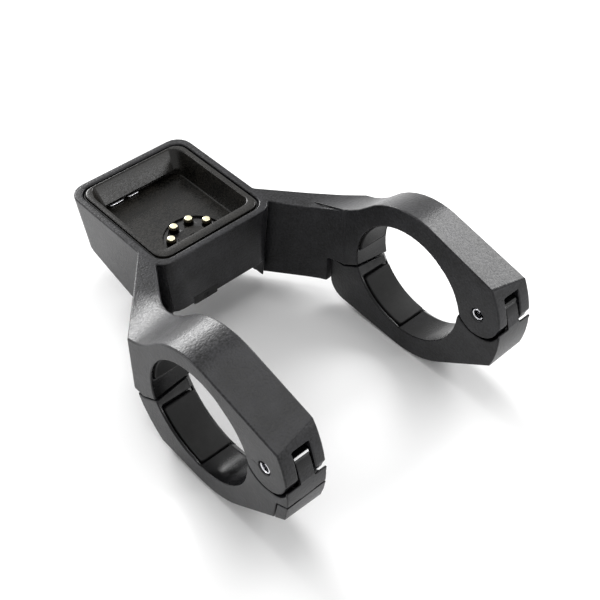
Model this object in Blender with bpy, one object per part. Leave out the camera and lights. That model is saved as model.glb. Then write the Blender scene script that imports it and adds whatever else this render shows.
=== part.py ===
"""Handlebar dock for a cycling display, in metres, +Z up.

X runs along the handlebar, +Y from the clamp hinges to the cradle, and +Z is square to the cradle rim.
The origin lies on the handlebar axis, midway between the two clamps.
"""
import math

import bmesh
import bpy
from mathutils import Matrix, Vector

# Every length below is in millimetres and every angle in degrees.
MM = 0.001

# Clearances: between still neighbours, round turned pieces, and how far a cutter runs past what it cuts
GAP = 0.3
FIT = 0.2
PAST = 2.0

# Handlebar seat: two arcs of one radius, moved together because no bar is fitted
SEAT_R = 16.7
SEAT_SHIFT = 1.45
PARTING_TILT = 17.0
RIM_CHAMFER = 1.5

# Clamps: walls round the seat, on the stem side (IN) and on the side away from it (OUT)
CLAMP_IN_X = 26.2
CLAMP_WIDTH = 10.5
RING_IN_Y = -1.0
RING_IN_Z = 1.2
RING_IN_WALL = 3.8
RING_IN_SLOPE = 15.3
RING_IN_BLEND_R = 30.0
RING_OUT_WALL = 2.7
RING_OUT_SLOPE = 13.2
RING_OUT_BLEND_R = 20.0
BELLY_IN_WALL = 4.6
BELLY_OUT_WALL = 3.85
BELLY_FRONT_SLOPE = 36.5
BELLY_REAR_SLOPE = 3.9
REAR_IN_WALL = 8.5
REAR_CORNER_R = 5.0
REAR_OUT_WALL = 7.8
REAR_OUT_END = 23.5

# Rear parting between the housing and a lower clamp half, with depths measured behind the seat
KNEE_IN_WALL = 3.9
KNEE_IN_Z = -7.75
KNEE_OUT_WALL = 3.5
KNEE_OUT_Z = -9.1
NOTCH_IN_Z = -8.2
NOTCH_OUT_WALL = 7.5
NOTCH_OUT_Z = -9.1
SEAT_SIDE_DEPTH = 4.7
SEAT_SIDE_IN_Z = -2.7
SEAT_SIDE_OUT_Z = -4.2

# Hinge: the pin stands in front of the seat, and the rounded chin stands in front of the pin
PIN_REACH = 5.02
PIN_Z = 6.26
PIN_R = 1.5
PIN_WALL = 0.6
PIN_SLIT = 0.9
CHIN_Y = -3.0
CHIN_Z = 2.0
CHIN_WALL = 6.5
CHIN_LOW = 192.0
EAR_WIDTH = 2.75
EAR_SWING = 0.4
EAR_START = -25.0
EAR_END = -172.0
SLOT_WIDTH = 4.5
SLOT_ROOM = 1.5
LIP_DROP = 1.71
TONGUE_RISE = 4.15
TONGUE_EASE = 4.0
BUSH_R = 3.0

# Clamp screw and the insert it turns into, with stations measured along the screw
SCREW_WALL = 2.7
SCREW_Z = -7.4
SCREW_R = 1.25
SCREW_SWING = 0.5
SCREW_TIP_CHAMFER = 0.5
SCREW_HEAD_R = 2.75
SCREW_HEAD_H = 3.0
SCREW_SEAT_S = -4.4
SCREW_LENGTH = 9.9
SCREW_KEY_R = 1.3
SCREW_KEY_DEPTH = 1.6
INSERT_WALL = 0.55
INSERT_S = 0.8
INSERT_LENGTH = 6.2

# Rubber pads in the bores
PAD_RIM = 1.1
PAD_THICK = 1.3
PAD_PROUD = 0.35
PAD_END_GAP = 1.5
LOWER_PAD_A0 = -88.0
LOWER_PAD_A1 = -36.0
LOWER_PAD_TOP_GAP = 2.5
UPPER_PAD_A0 = 4.0
UPPER_PAD_A1 = 125.0

# Arms, with their roots measured from the front corners of the cradle rim
ARM_IN_ROOT_IN = 0.62
ARM_IN_ROOT_BACK = 2.14
ARM_IN_SPLAY = 31.1
ARM_IN_BEND_R = 22.0
ARM_OUT_ROOT_OUT = 0.23
ARM_OUT_ROOT_BACK = 8.14
ARM_OUT_SPLAY = 40.3
ARM_OVERLAP = 3.5
ARM_LENGTH_PAST_RIM = 12.94
ARM_IN_Z0 = -16.2
ARM_IN_Z1 = -19.3
ARM_OUT_Z0 = -9.8
ARM_OUT_Z1 = -14.0

# Cradle
RIM_Z = 6.48
RIM_X = 17.97
RIM_Y0 = 37.06
RIM_LENGTH = 38.5
RIM_CORNER_R = 4.5
RIM_WIDTH = 1.87
GROOVE = 0.65
DRAFT = 0.09
BASE_Z = -10.5
CHEEK_Z = -17.1
CHEEK_INSET = 3.3
CHEEK_FLAT = 15.44
CHEEK_RISE = 18.0
FRONT_WALL = 2.94
BACK_WALL = 6.06

# Tray and the seal round it
TRAY_SIDE_WALL = 1.4
TRAY_FRONT_WALL = 2.42
TRAY_BACK_WALL = 2.34
TRAY_OPEN_R = 2.6
TRAY_DEPTH = 6.78
TRAY_SIDE_LEAN = 1.5
TRAY_FRONT_LEAN = 0.4
TRAY_BACK_LEAN = 1.4
TRAY_FLOOR_THICK = 1.7
LOCK_HOLE_R = 1.4
BACK_SLOT_HALF = 12.0
BACK_SLOT_H = 1.85
BACK_SLOT_DEPTH = 1.9
SEAL_DOWN = 0.58
SEAL_H = 0.9
SEAL_INSET = 0.17

# Contacts
CONTACT_BACK = 5.1
CONTACT_RING_R = 6.03
CONTACT_FIRST = 22.5
CONTACT_STEP = 45.0
CONTACT_COUNT = 4
CARRIER_WALL = 0.6
CARRIER_PROUD = 0.75
CARRIER_UNDER = 0.1
CARRIER_END = -12.0
CARRIER_MOUTH = 0.6
TIP_R = 0.9
TIP_PROUD = 0.9
TIP_DOME = 0.35
TIP_FLAT_R = 0.65
SHOULDER_H = 0.7
BARREL_R = 1.8
BARREL_WALL = 0.3
BARREL_SINK = 0.95
BARREL_LIP = 0.4
BARREL_LENGTH = 4.8
BARREL_END = 0.4
TAIL_R = 0.45
TAIL_LENGTH = 1.6
SPRING_ROOM = 0.38
SPRING_WIRE_R = 0.17
SPRING_TURNS = 5

# Board, magnet, cover and its screws
BOARD_THICK = 1.0
BOARD_SIDE_GAP = 3.1
BOARD_CORNER_R = 1.0
MAGNET_BACK = 13.8
MAGNET_R = 4.5
MAGNET_THICK = 2.1
LEDGE = 0.7
COVER_FRONT = 3.14
COVER_BACK = 5.76
COVER_SINK = 0.1
COVER_THICK = 1.4
COVER_CORNER_R = 2.0
BOSS_SIDE = 2.8
BOSS_END = 3.0
BOSS_R = 2.1
BOSS_LENGTH = 4.0
BOSS_WALL = 0.4
COVER_SCREW_R = 0.9
COVER_SCREW_HEAD_R = 1.9
COVER_SCREW_HEAD_H = 0.75
COVER_SCREW_KEY_R = 0.72
COVER_SCREW_KEY_DEPTH = 0.5
COVER_SCREW_BITE = 3.0

# Cable grommet in the front wall
GROMMET_X = -5.15
GROMMET_WIDTH = 6.7
GROMMET_HEIGHT = 2.4
GROMMET_DROP = 0.5
GROMMET_PROUD = 0.3
GROMMET_HOLE_R = 0.8

# Corner cap on the left lower clamp, with depths measured in front of the pin
CAP_BACK = 3.44
CAP_BACK_Z = -1.9
CAP_FOOT = 2.66
CAP_FOOT_Z = -6.8
CAP_FRONT_Z = 1.06

# Facets round a full turn
FINE = 48
ROUND = 24
SMALL = 16

# Finishes: linear colour, metallic and roughness
GRAINED_PLASTIC = ((0.035, 0.035, 0.037), 0.0, 0.6)
SMOOTH_PLASTIC = ((0.045, 0.043, 0.042), 0.0, 0.45)
BLACK_PLASTIC = ((0.025, 0.024, 0.024), 0.0, 0.5)
RUBBER = ((0.015, 0.015, 0.015), 0.0, 0.8)
LAMINATE = ((0.02, 0.07, 0.04), 0.0, 0.5)
GOLD = ((0.83, 0.66, 0.33), 1.0, 0.25)
BRASS = ((0.7, 0.53, 0.25), 1.0, 0.3)
BRIGHT_STEEL = ((0.7, 0.7, 0.71), 1.0, 0.2)
BLACK_STEEL = ((0.25, 0.25, 0.26), 1.0, 0.35)
NICKEL = ((0.62, 0.61, 0.58), 1.0, 0.3)

# Places that follow from the sizes above: clamp and hinge
CLAMP_OUT_X = CLAMP_IN_X + CLAMP_WIDTH
MID_X = CLAMP_IN_X + CLAMP_WIDTH / 2
PIN_Y = -SEAT_R - PIN_REACH
CHIN_R = math.hypot(PIN_Y - CHIN_Y, PIN_Z - CHIN_Z) + CHIN_WALL
EAR_R = CHIN_WALL - GAP
EAR_POCKET_R = CHIN_WALL + EAR_SWING
SLOT_R = CHIN_WALL + SLOT_ROOM
SLOT_X0 = CLAMP_IN_X + EAR_WIDTH
SLOT_X1 = SLOT_X0 + SLOT_WIDTH
BELLY_IN_R = SEAT_R + BELLY_IN_WALL
BELLY_OUT_R = SEAT_R + BELLY_OUT_WALL
REAR_IN_Y = SEAT_R + REAR_IN_WALL
REAR_OUT_R = SEAT_R + REAR_OUT_WALL
NOTCH_OUT_Y = SEAT_R + NOTCH_OUT_WALL
SEAT_SIDE_Y = SEAT_R - SEAT_SIDE_DEPTH
PAD_X0 = CLAMP_IN_X + PAD_RIM
PAD_X1 = CLAMP_OUT_X - PAD_RIM
PAD_IN_R = SEAT_R - PAD_PROUD
PAD_OUT_R = PAD_IN_R + PAD_THICK
SCREW_Y = SEAT_R + SCREW_WALL
INSERT_BORE_R = SCREW_R + SCREW_SWING
INSERT_R = INSERT_BORE_R + INSERT_WALL

# Places that follow from the sizes above: cradle, tray and what lies under it
RIM_Y1 = RIM_Y0 + RIM_LENGTH
CHEEK_X = RIM_X - CHEEK_INSET
TRAY_INSET = RIM_WIDTH + GROOVE
TRAY_OPEN_X = RIM_X - TRAY_INSET - TRAY_SIDE_WALL
TRAY_OPEN_Y0 = RIM_Y0 + TRAY_INSET + TRAY_FRONT_WALL
TRAY_OPEN_Y1 = RIM_Y1 - TRAY_INSET - TRAY_BACK_WALL
TRAY_FLOOR_Z = RIM_Z - TRAY_DEPTH
TRAY_BASE_Z = TRAY_FLOOR_Z - TRAY_FLOOR_THICK
POCKET_Z = TRAY_BASE_Z - GAP
COVER_X = TRAY_OPEN_X - LEDGE
COVER_Y0 = RIM_Y0 + COVER_FRONT
COVER_Y1 = RIM_Y1 - COVER_BACK
COVER_Z0 = BASE_Z + COVER_SINK
COVER_Z1 = COVER_Z0 + COVER_THICK
BOSS_X = COVER_X - BOSS_SIDE
BOSS_Y0 = COVER_Y0 + BOSS_END
BOSS_Y1 = COVER_Y1 - BOSS_END
BOSS_Z = TRAY_BASE_Z - BOSS_LENGTH
BOSS_ROOM = BOSS_R + GAP + BOSS_WALL
WELL_X = BOSS_X - BOSS_ROOM
WELL_Y0 = RIM_Y0 + FRONT_WALL
WELL_Y1 = RIM_Y1 - BACK_WALL
CAVITY_Y0 = BOSS_Y0 + BOSS_ROOM
CAVITY_Y1 = BOSS_Y1 - BOSS_ROOM

# Places that follow from the sizes above: contacts
CONTACT_Y = TRAY_OPEN_Y0 + CONTACT_BACK
CARRIER_HALF = BARREL_R + FIT + CARRIER_WALL
CARRIER_Z0 = TRAY_BASE_Z - CARRIER_UNDER
CARRIER_Z1 = TRAY_FLOOR_Z + CARRIER_PROUD
TIP_Z = CARRIER_Z1 + TIP_PROUD
BARREL_BORE_R = BARREL_R - BARREL_WALL
BARREL_LIP_R = TIP_R + FIT
BARREL_Z1 = CARRIER_Z1 - BARREL_SINK
BARREL_LIP_Z = BARREL_Z1 - BARREL_LIP
BARREL_Z0 = BARREL_Z1 - BARREL_LENGTH
BARREL_FLOOR_Z = BARREL_Z0 + BARREL_END
SHOULDER_R = BARREL_BORE_R - FIT
SHOULDER_Z1 = BARREL_LIP_Z - GAP
SHOULDER_Z0 = SHOULDER_Z1 - SHOULDER_H
SPRING_R = BARREL_BORE_R - SPRING_WIRE_R - SPRING_ROOM
BOARD_Z1 = BARREL_Z0 - GAP
BOARD_Z0 = BOARD_Z1 - BOARD_THICK


def wipe():
    """Empty the scene of every object it starts with."""
    for thing in list(bpy.data.objects):
        bpy.data.objects.remove(thing, do_unlink=True)


wipe()
PARTS = bpy.data.collections.new("handlebar_display_dock")
CUTTERS = bpy.data.collections.new("cutters")
bpy.context.scene.collection.children.link(PARTS)
bpy.context.scene.collection.children.link(CUTTERS)


def put(name, bm, group):
    """Turn a bmesh in millimetres into a named object in metres, smooth across its round faces."""
    bmesh.ops.recalc_face_normals(bm, faces=bm.faces)
    bmesh.ops.scale(bm, vec=(MM, MM, MM), verts=bm.verts)
    mesh = bpy.data.meshes.new(name)
    bm.to_mesh(mesh)
    bm.free()
    mesh.shade_smooth()
    mesh.set_sharp_from_angle(angle=math.radians(30.0))
    thing = bpy.data.objects.new(name, mesh)
    group.objects.link(thing)
    if group is CUTTERS:
        thing.hide_render = True
        thing.display_type = "WIRE"
    return thing


def prism(name, outline, lo, hi, axis, group=CUTTERS):
    """Extrude a flat outline from lo to hi: (y, z) points along X, or (x, y) points along Z."""
    bm = bmesh.new()
    if axis == "X":
        ring = [bm.verts.new((lo, a, b)) for a, b in outline]
        step = Vector((hi - lo, 0.0, 0.0))
    else:
        ring = [bm.verts.new((a, b, lo)) for a, b in outline]
        step = Vector((0.0, 0.0, hi - lo))
    face = bm.faces.new(ring)
    grown = bmesh.ops.extrude_face_region(bm, geom=[face])
    moved = [item for item in grown["geom"] if isinstance(item, bmesh.types.BMVert)]
    bmesh.ops.translate(bm, vec=step, verts=moved)
    return put(name, bm, group)


def loft(name, sections, group=CUTTERS):
    """Join like-numbered (y, z) outlines standing at several x stations, unlike in shape."""
    bm = bmesh.new()
    rings = []
    for x, outline in sections:
        rings.append([bm.verts.new((x, a, b)) for a, b in outline])
    count = len(rings[0])
    for near, far in zip(rings, rings[1:]):
        for k in range(count):
            j = (k + 1) % count
            bm.faces.new((near[k], near[j], far[j], far[k]))
    bm.faces.new(rings[0])
    bm.faces.new(rings[-1])
    return put(name, bm, group)


def drafted_box(name, top, bottom, z0, z1, corner_r, group=CUTTERS):
    """A cube with its top and bottom rectangles (x0, x1, y0, y1) set apart and its uprights rounded."""
    bm = bmesh.new()
    bmesh.ops.create_cube(bm)
    for vert in bm.verts:
        x0, x1, y0, y1 = top if vert.co.z > 0 else bottom
        high = z1 if vert.co.z > 0 else z0
        vert.co = Vector((x1 if vert.co.x > 0 else x0, y1 if vert.co.y > 0 else y0, high))
    if corner_r:
        uprights = [e for e in bm.edges if abs(e.verts[0].co.z - e.verts[1].co.z) > 1e-6]
        bmesh.ops.bevel(bm, geom=uprights, offset=corner_r, segments=5, profile=0.5, affect="EDGES")
    return put(name, bm, group)


def box(name, x0, x1, y0, y1, z0, z1, group=CUTTERS):
    """A plain box between six planes."""
    rect = (x0, x1, y0, y1)
    return drafted_box(name, rect, rect, z0, z1, 0.0, group)


def rod(name, r, z0, z1, steps, group=CUTTERS):
    """A plain cylinder standing on Z."""
    bm = bmesh.new()
    middle = Matrix.Translation((0.0, 0.0, (z0 + z1) / 2))
    bmesh.ops.create_cone(bm, cap_ends=True, segments=steps, radius1=r, radius2=r, depth=z1 - z0,
                          matrix=middle)
    return put(name, bm, group)


def turned(name, profile, steps, group=CUTTERS):
    """Turn an (r, z) outline round Z; the outline starts and ends on the axis or closes on itself."""
    bm = bmesh.new()
    verts = [bm.verts.new((r, 0.0, z)) for r, z in profile]
    edges = [bm.edges.new(pair) for pair in zip(verts, verts[1:])]
    if profile[0][0] > 0:
        edges.append(bm.edges.new((verts[-1], verts[0])))
    bmesh.ops.spin(bm, geom=verts + edges, cent=(0, 0, 0), axis=(0, 0, 1), angle=2 * math.pi,
                   steps=steps, use_merge=True, use_duplicate=False)
    bmesh.ops.remove_doubles(bm, verts=bm.verts, dist=1e-4)
    return put(name, bm, group)


def stepped(name, low_r, high_r, z0, step_z, z1, steps, group=CUTTERS):
    """A cylinder in two widths that change at one height."""
    profile = [(0.0, z0), (low_r, z0), (low_r, step_z), (high_r, step_z), (high_r, z1), (0.0, z1)]
    return turned(name, profile, steps, group)


def arc(cy, cz, r, a0, a1, count):
    """Points on a circle from angle a0 to a1, both ends in."""
    pts = []
    for k in range(count + 1):
        a = math.radians(a0 + (a1 - a0) * k / count)
        pts.append((cy + r * math.cos(a), cz + r * math.sin(a)))
    return pts


def disc(cy, cz, r, count):
    """A full circle of points, the last one left off."""
    return arc(cy, cz, r, 0.0, 360.0, count)[:-1]


def cut(thing, cutter, how="DIFFERENCE"):
    """Add one exact Boolean to a piece."""
    mod = thing.modifiers.new(cutter.name, "BOOLEAN")
    mod.operation = how
    mod.solver = "EXACT"
    mod.object = cutter
    return thing


def finish(thing, look):
    """Give a piece its own material."""
    colour, metal, rough = look
    mat = bpy.data.materials.new(thing.name)
    mat.use_nodes = True
    shader = mat.node_tree.nodes["Principled BSDF"]
    shader.inputs["Base Color"].default_value = (*colour, 1.0)
    shader.inputs["Metallic"].default_value = metal
    shader.inputs["Roughness"].default_value = rough
    thing.data.materials.append(mat)
    return thing


def stand(thing, x, y):
    """Stand a piece turned round Z at a plan place in millimetres."""
    thing.location = (x * MM, y * MM, 0.0)
    return thing


def origin_at(thing, point):
    """Move a piece's origin to a point in millimetres, leaving its shape where it is."""
    where = Vector(point) * MM
    thing.data.transform(Matrix.Translation(-where))
    thing.location = where
    return thing


def ride(thing, frame):
    """Parent a piece to the empty on its joint axis, leaving it where it is."""
    thing.parent = frame
    thing.matrix_parent_inverse = Matrix.Translation(-frame.location)
    return thing


def axis_empty(name, point):
    """An empty standing on a joint axis."""
    frame = bpy.data.objects.new(name, None)
    frame.location = Vector(point) * MM
    PARTS.objects.link(frame)
    return frame


# Directions tied to the parting: across it, and along the clamp screw, which stands square to the hinge arm
ACROSS_Y = math.sin(math.radians(PARTING_TILT))
ACROSS_Z = math.cos(math.radians(PARTING_TILT))
UPPER_SEAT_Y = -SEAT_SHIFT * ACROSS_Y
UPPER_SEAT_Z = -SEAT_SHIFT * ACROSS_Z
LOWER_SEAT_Y = SEAT_SHIFT * ACROSS_Y
LOWER_SEAT_Z = SEAT_SHIFT * ACROSS_Z
SCREW_LEAN = math.atan2(PIN_Z - SCREW_Z, SCREW_Y - PIN_Y)


def line_meets_chin(y, z, slope):
    """Where a line through (y, z) of the given slope meets the chin circle on the hinge side."""
    dy = -math.cos(math.radians(slope))
    dz = -math.sin(math.radians(slope))
    ry = y - CHIN_Y
    rz = z - CHIN_Z
    half = ry * dy + rz * dz
    t = -half + math.sqrt(half * half - (ry * ry + rz * rz - CHIN_R * CHIN_R))
    return y + t * dy, z + t * dz


def chin_angle(point):
    """Angle of a point as seen from the chin circle's centre, 0 to 360."""
    return math.degrees(math.atan2(point[1] - CHIN_Z, point[0] - CHIN_Y)) % 360.0


def upper_outline(cy, cz, r, slope, blend_r, seat_z, knee, notch_top, notch_foot, end_z):
    """Side view of one upper clamp half with its arm, at one x station."""
    crown = arc(cy, cz, r, 90.0 + slope, 90.0, 3)
    front = line_meets_chin(crown[0][0], crown[0][1], slope)
    blend_z = RIM_Z + blend_r
    blend_y = cy + math.sqrt((r + blend_r) ** 2 - (blend_z - cz) ** 2)
    join = math.degrees(math.atan2(blend_z - cz, blend_y - cy))
    end_y = RIM_Y0 + ARM_LENGTH_PAST_RIM
    pts = crown + arc(cy, cz, r, 90.0, join, 6)[1:]
    pts += arc(blend_y, blend_z, blend_r, 180.0 + join, 270.0, 6)[1:]
    pts += [(end_y, RIM_Z), (end_y, end_z), notch_foot, notch_top, knee, (SEAT_SIDE_Y, seat_z)]
    pts += [(PIN_Y + 2 * EAR_R, seat_z)] + arc(PIN_Y, PIN_Z, EAR_R, EAR_START, EAR_END, 10)
    chin_low = (PIN_Y - EAR_R, PIN_Z)
    pts += arc(CHIN_Y, CHIN_Z, CHIN_R, chin_angle(chin_low), chin_angle(front), 5)
    return pts


def lower_outline(belly_r, rear, rear_top, knee, seat_z):
    """Side view of one lower clamp half with its hinge tongue, at one x station."""
    tongue_top = math.degrees(math.asin(TONGUE_RISE / EAR_R))
    chin_top = chin_angle((PIN_Y, PIN_Z))
    pts = arc(PIN_Y, PIN_Z, EAR_R, EAR_START - TONGUE_EASE, tongue_top, 4)
    pts += arc(PIN_Y, PIN_Z, EAR_R, 180.0 - tongue_top, chin_top, 2)
    belly = arc(0.0, 0.0, belly_r, 270.0 - BELLY_FRONT_SLOPE, 270.0 + BELLY_REAR_SLOPE, 7)
    corner = line_meets_chin(belly[0][0], belly[0][1], -BELLY_FRONT_SLOPE)
    pts += arc(CHIN_Y, CHIN_Z, CHIN_R, chin_top, CHIN_LOW, 4)[1:] + [corner]
    pts += belly + rear + [rear_top, knee, (SEAT_SIDE_Y, seat_z), (PIN_Y + 2 * EAR_R, seat_z)]
    return pts


def arm_plan(sign):
    """Plan view of one clamp and its arm, from the hinge to inside the cradle wall."""
    splay_in = math.radians(ARM_IN_SPLAY)
    splay_out = math.radians(ARM_OUT_SPLAY)
    in_x = RIM_X - ARM_IN_ROOT_IN
    in_y = RIM_Y0 + ARM_IN_ROOT_BACK
    out_x = RIM_X + ARM_OUT_ROOT_OUT
    out_y = RIM_Y0 + ARM_OUT_ROOT_BACK
    bend_y = in_y - (CLAMP_IN_X - in_x) / math.tan(splay_in)
    centre_x = CLAMP_IN_X - ARM_IN_BEND_R
    centre_y = bend_y - ARM_IN_BEND_R * math.tan(splay_in / 2)
    elbow_y = out_y - (CLAMP_OUT_X - out_x) / math.tan(splay_out)
    pts = [(CLAMP_OUT_X + GAP, CHIN_Y - 2 * CHIN_R), (CLAMP_OUT_X + GAP, elbow_y)]
    pts.append((out_x - ARM_OVERLAP * math.tan(splay_out), out_y + ARM_OVERLAP))
    pts.append((in_x - ARM_OVERLAP * math.tan(splay_in), in_y + ARM_OVERLAP))
    pts += arc(centre_x, centre_y, ARM_IN_BEND_R, ARM_IN_SPLAY, 0.0, 6)
    pts.append((CLAMP_IN_X, CHIN_Y - 2 * CHIN_R))
    return [(sign * a, b) for a, b in pts]


def on_screw(thing, sign):
    """Stand a piece turned round Z on the clamp screw's axis."""
    foot = Vector((sign * MID_X, SCREW_Y, SCREW_Z)) * MM
    thing.matrix_world = Matrix.Translation(foot) @ Matrix.Rotation(-SCREW_LEAN, 4, "X")
    return thing


def seat_sector(cy, cz, r0, r1, a0, a1):
    """Ring sector in side view, for a pad or the recess it lies in."""
    return arc(cy, cz, r0, a0, a1, 12) + arc(cy, cz, r1, a1, a0, 12)


def rounded_rect(x0, x1, y0, y1, r):
    """Rounded rectangle outline in plan."""
    pts = arc(x1 - r, y1 - r, r, 0.0, 90.0, 5)
    pts += arc(x0 + r, y1 - r, r, 90.0, 180.0, 5)
    pts += arc(x0 + r, y0 + r, r, 180.0, 270.0, 5)
    pts += arc(x1 - r, y0 + r, r, 270.0, 360.0, 5)
    return pts


def horseshoe(half):
    """Arc-shaped band with round ends about the contact ring, in plan."""
    stop = 180.0 - CARRIER_END
    r = CONTACT_RING_R
    end_x = r * math.cos(math.radians(CARRIER_END))
    end_y = CONTACT_Y + r * math.sin(math.radians(CARRIER_END))
    pts = arc(0.0, CONTACT_Y, r + half, CARRIER_END, stop, 18)
    pts += arc(-end_x, end_y, half, stop, stop + 180.0, 6)[1:-1]
    pts += arc(0.0, CONTACT_Y, r - half, stop, CARRIER_END, 18)
    pts += arc(end_x, end_y, half, CARRIER_END - 180.0, CARRIER_END, 6)[1:-1]
    return pts


def drafted_rect(inset, z):
    """Rectangle of the cradle's drafted walls at height z, set in by an amount all round."""
    lean = DRAFT * (RIM_Z - z)
    half = RIM_X - inset - lean
    return (-half, half, RIM_Y0 + inset, RIM_Y1 - inset - lean)


SIDES = (("left", -1.0), ("right", 1.0))

# Cradle block, with its cheeks left hanging below the base on both sides
SINK_Z = CHEEK_Z - PAST
cradle = drafted_box("cradle_block", drafted_rect(0.0, RIM_Z), drafted_rect(0.0, SINK_Z),
                     SINK_Z, RIM_Z, RIM_CORNER_R)
cut(cradle, box("belly_cut", -CHEEK_X, CHEEK_X, RIM_Y0 - PAST, RIM_Y1 + PAST, SINK_Z - PAST, BASE_Z))
cheek_line = [(RIM_Y0 - PAST, CHEEK_Z), (RIM_Y0 + CHEEK_FLAT, CHEEK_Z),
              (RIM_Y0 + CHEEK_FLAT + CHEEK_RISE, BASE_Z), (RIM_Y1 + PAST, BASE_Z),
              (RIM_Y1 + PAST, SINK_Z - PAST), (RIM_Y0 - PAST, SINK_Z - PAST)]
cut(cradle, prism("cheek_cut", cheek_line, -RIM_X - PAST, RIM_X + PAST, "X"))

# Housing: the cradle with both arms and both upper clamp halves
INNER_UPPER = upper_outline(RING_IN_Y, RING_IN_Z, SEAT_R + RING_IN_WALL, RING_IN_SLOPE, RING_IN_BLEND_R,
                            SEAT_SIDE_IN_Z, (SEAT_R + KNEE_IN_WALL, KNEE_IN_Z),
                            (REAR_IN_Y + GAP, NOTCH_IN_Z), (REAR_IN_Y + GAP, ARM_IN_Z0), ARM_IN_Z1)
OUTER_UPPER = upper_outline(0.0, 0.0, SEAT_R + RING_OUT_WALL, RING_OUT_SLOPE, RING_OUT_BLEND_R,
                            SEAT_SIDE_OUT_Z, (SEAT_R + KNEE_OUT_WALL, KNEE_OUT_Z),
                            (NOTCH_OUT_Y, NOTCH_OUT_Z), (NOTCH_OUT_Y + GAP, ARM_OUT_Z0), ARM_OUT_Z1)
housing = drafted_box("housing", drafted_rect(RIM_CORNER_R, RIM_Z), drafted_rect(RIM_CORNER_R, BASE_Z),
                      BASE_Z + PAST, RIM_Z - PAST, 0.0, PARTS)
cut(housing, cradle, "UNION")
for side, sign in SIDES:
    arm = loft(side + "_arm", [(sign * RIM_X / 2, INNER_UPPER), (sign * CLAMP_IN_X, INNER_UPPER),
                               (sign * CLAMP_OUT_X, OUTER_UPPER)])
    cut(arm, prism(side + "_arm_plan", arm_plan(sign), -2 * CHIN_R, 2 * CHIN_R, "Z"), "INTERSECT")
    cut(housing, arm, "UNION")
    lo = sign * (CLAMP_IN_X - PAST)
    hi = sign * (CLAMP_OUT_X + PAST)
    seat = disc(UPPER_SEAT_Y, UPPER_SEAT_Z, SEAT_R, FINE)
    cut(housing, prism(side + "_upper_seat", seat, lo, hi, "X"))
    slot = disc(PIN_Y, PIN_Z, SLOT_R, FINE)
    cut(housing, prism(side + "_hinge_slot", slot, sign * SLOT_X0, sign * SLOT_X1, "X"))
    hole = disc(PIN_Y, PIN_Z, PIN_R + FIT, ROUND)
    cut(housing, prism(side + "_pin_hole", hole, lo, hi, "X"))
    recess = seat_sector(UPPER_SEAT_Y, UPPER_SEAT_Z, SEAT_R - PAST, PAD_OUT_R + GAP,
                         UPPER_PAD_A0 - PAD_END_GAP, UPPER_PAD_A1 + PAD_END_GAP)
    cut(housing, prism(side + "_upper_recess", recess, sign * (PAD_X0 - GAP), sign * (PAD_X1 + GAP), "X"))
    well = rod(side + "_insert_well", INSERT_R + FIT, -2 * PAST, INSERT_S + INSERT_LENGTH + GAP, ROUND)
    cut(housing, on_screw(well, sign))

# Pocket for the tray, cavity under it and seat for the bottom cover
POCKET_TOP = RIM_Z + PAST
pocket = drafted_box("tray_pocket", drafted_rect(RIM_WIDTH, POCKET_TOP), drafted_rect(RIM_WIDTH, POCKET_Z),
                     POCKET_Z, POCKET_TOP, RIM_CORNER_R - RIM_WIDTH / 2)
cut(housing, pocket)
cut(housing, box("cavity", -COVER_X, COVER_X, CAVITY_Y0, CAVITY_Y1, BASE_Z - PAST, POCKET_Z + PAST))
cut(housing, box("cable_well", -WELL_X, WELL_X, WELL_Y0, WELL_Y1, BASE_Z - PAST, POCKET_Z + PAST))
cut(housing, box("cover_seat", -COVER_X - GAP, COVER_X + GAP, COVER_Y0 - GAP, COVER_Y1 + GAP,
                 BASE_Z - PAST, COVER_Z1 + GAP))
GROMMET_X0 = GROMMET_X - GROMMET_WIDTH / 2
GROMMET_X1 = GROMMET_X + GROMMET_WIDTH / 2
GROMMET_Z0 = BASE_Z - GROMMET_DROP
GROMMET_Z1 = GROMMET_Z0 + GROMMET_HEIGHT
cut(housing, box("grommet_notch", GROMMET_X0 - GAP, GROMMET_X1 + GAP, RIM_Y0 - PAST, WELL_Y0 + PAST,
                 GROMMET_Z0 - PAST, GROMMET_Z1 + GAP))
BOSSES = [(x, y) for x in (-BOSS_X, BOSS_X) for y in (BOSS_Y0, BOSS_Y1)]
for k, (x, y) in enumerate(BOSSES):
    step = stepped("boss_well_%d" % (k + 1), COVER_SCREW_R + FIT, BOSS_R + GAP,
                   COVER_Z0, BOSS_Z - GAP, POCKET_Z + PAST, ROUND)
    cut(housing, stand(step, x, y))
finish(housing, GRAINED_PLASTIC)

# Tray dropped into the pocket, with four bosses reaching down to the cover screws
tray = drafted_box("dock_tray", drafted_rect(TRAY_INSET, RIM_Z), drafted_rect(TRAY_INSET, TRAY_BASE_Z),
                   TRAY_BASE_Z, RIM_Z, RIM_CORNER_R - TRAY_INSET / 2, PARTS)
over_side = PAST * TRAY_SIDE_LEAN / TRAY_DEPTH
over_front = PAST * TRAY_FRONT_LEAN / TRAY_DEPTH
over_back = PAST * TRAY_BACK_LEAN / TRAY_DEPTH
foot_x = TRAY_OPEN_X - TRAY_SIDE_LEAN
foot_y = TRAY_OPEN_Y1 - TRAY_BACK_LEAN
open_top = (-TRAY_OPEN_X - over_side, TRAY_OPEN_X + over_side,
            TRAY_OPEN_Y0 - over_front, TRAY_OPEN_Y1 + over_back)
open_floor = (-foot_x, foot_x, TRAY_OPEN_Y0 + TRAY_FRONT_LEAN, foot_y)
cut(tray, drafted_box("tray_opening", open_top, open_floor, TRAY_FLOOR_Z, POCKET_TOP, TRAY_OPEN_R))
cut(tray, box("back_slot", -BACK_SLOT_HALF, BACK_SLOT_HALF, foot_y - PAST, foot_y + BACK_SLOT_DEPTH,
              TRAY_FLOOR_Z, TRAY_FLOOR_Z + BACK_SLOT_H))
SCREW_TOP_Z = BOSS_Z + COVER_SCREW_BITE
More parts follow.
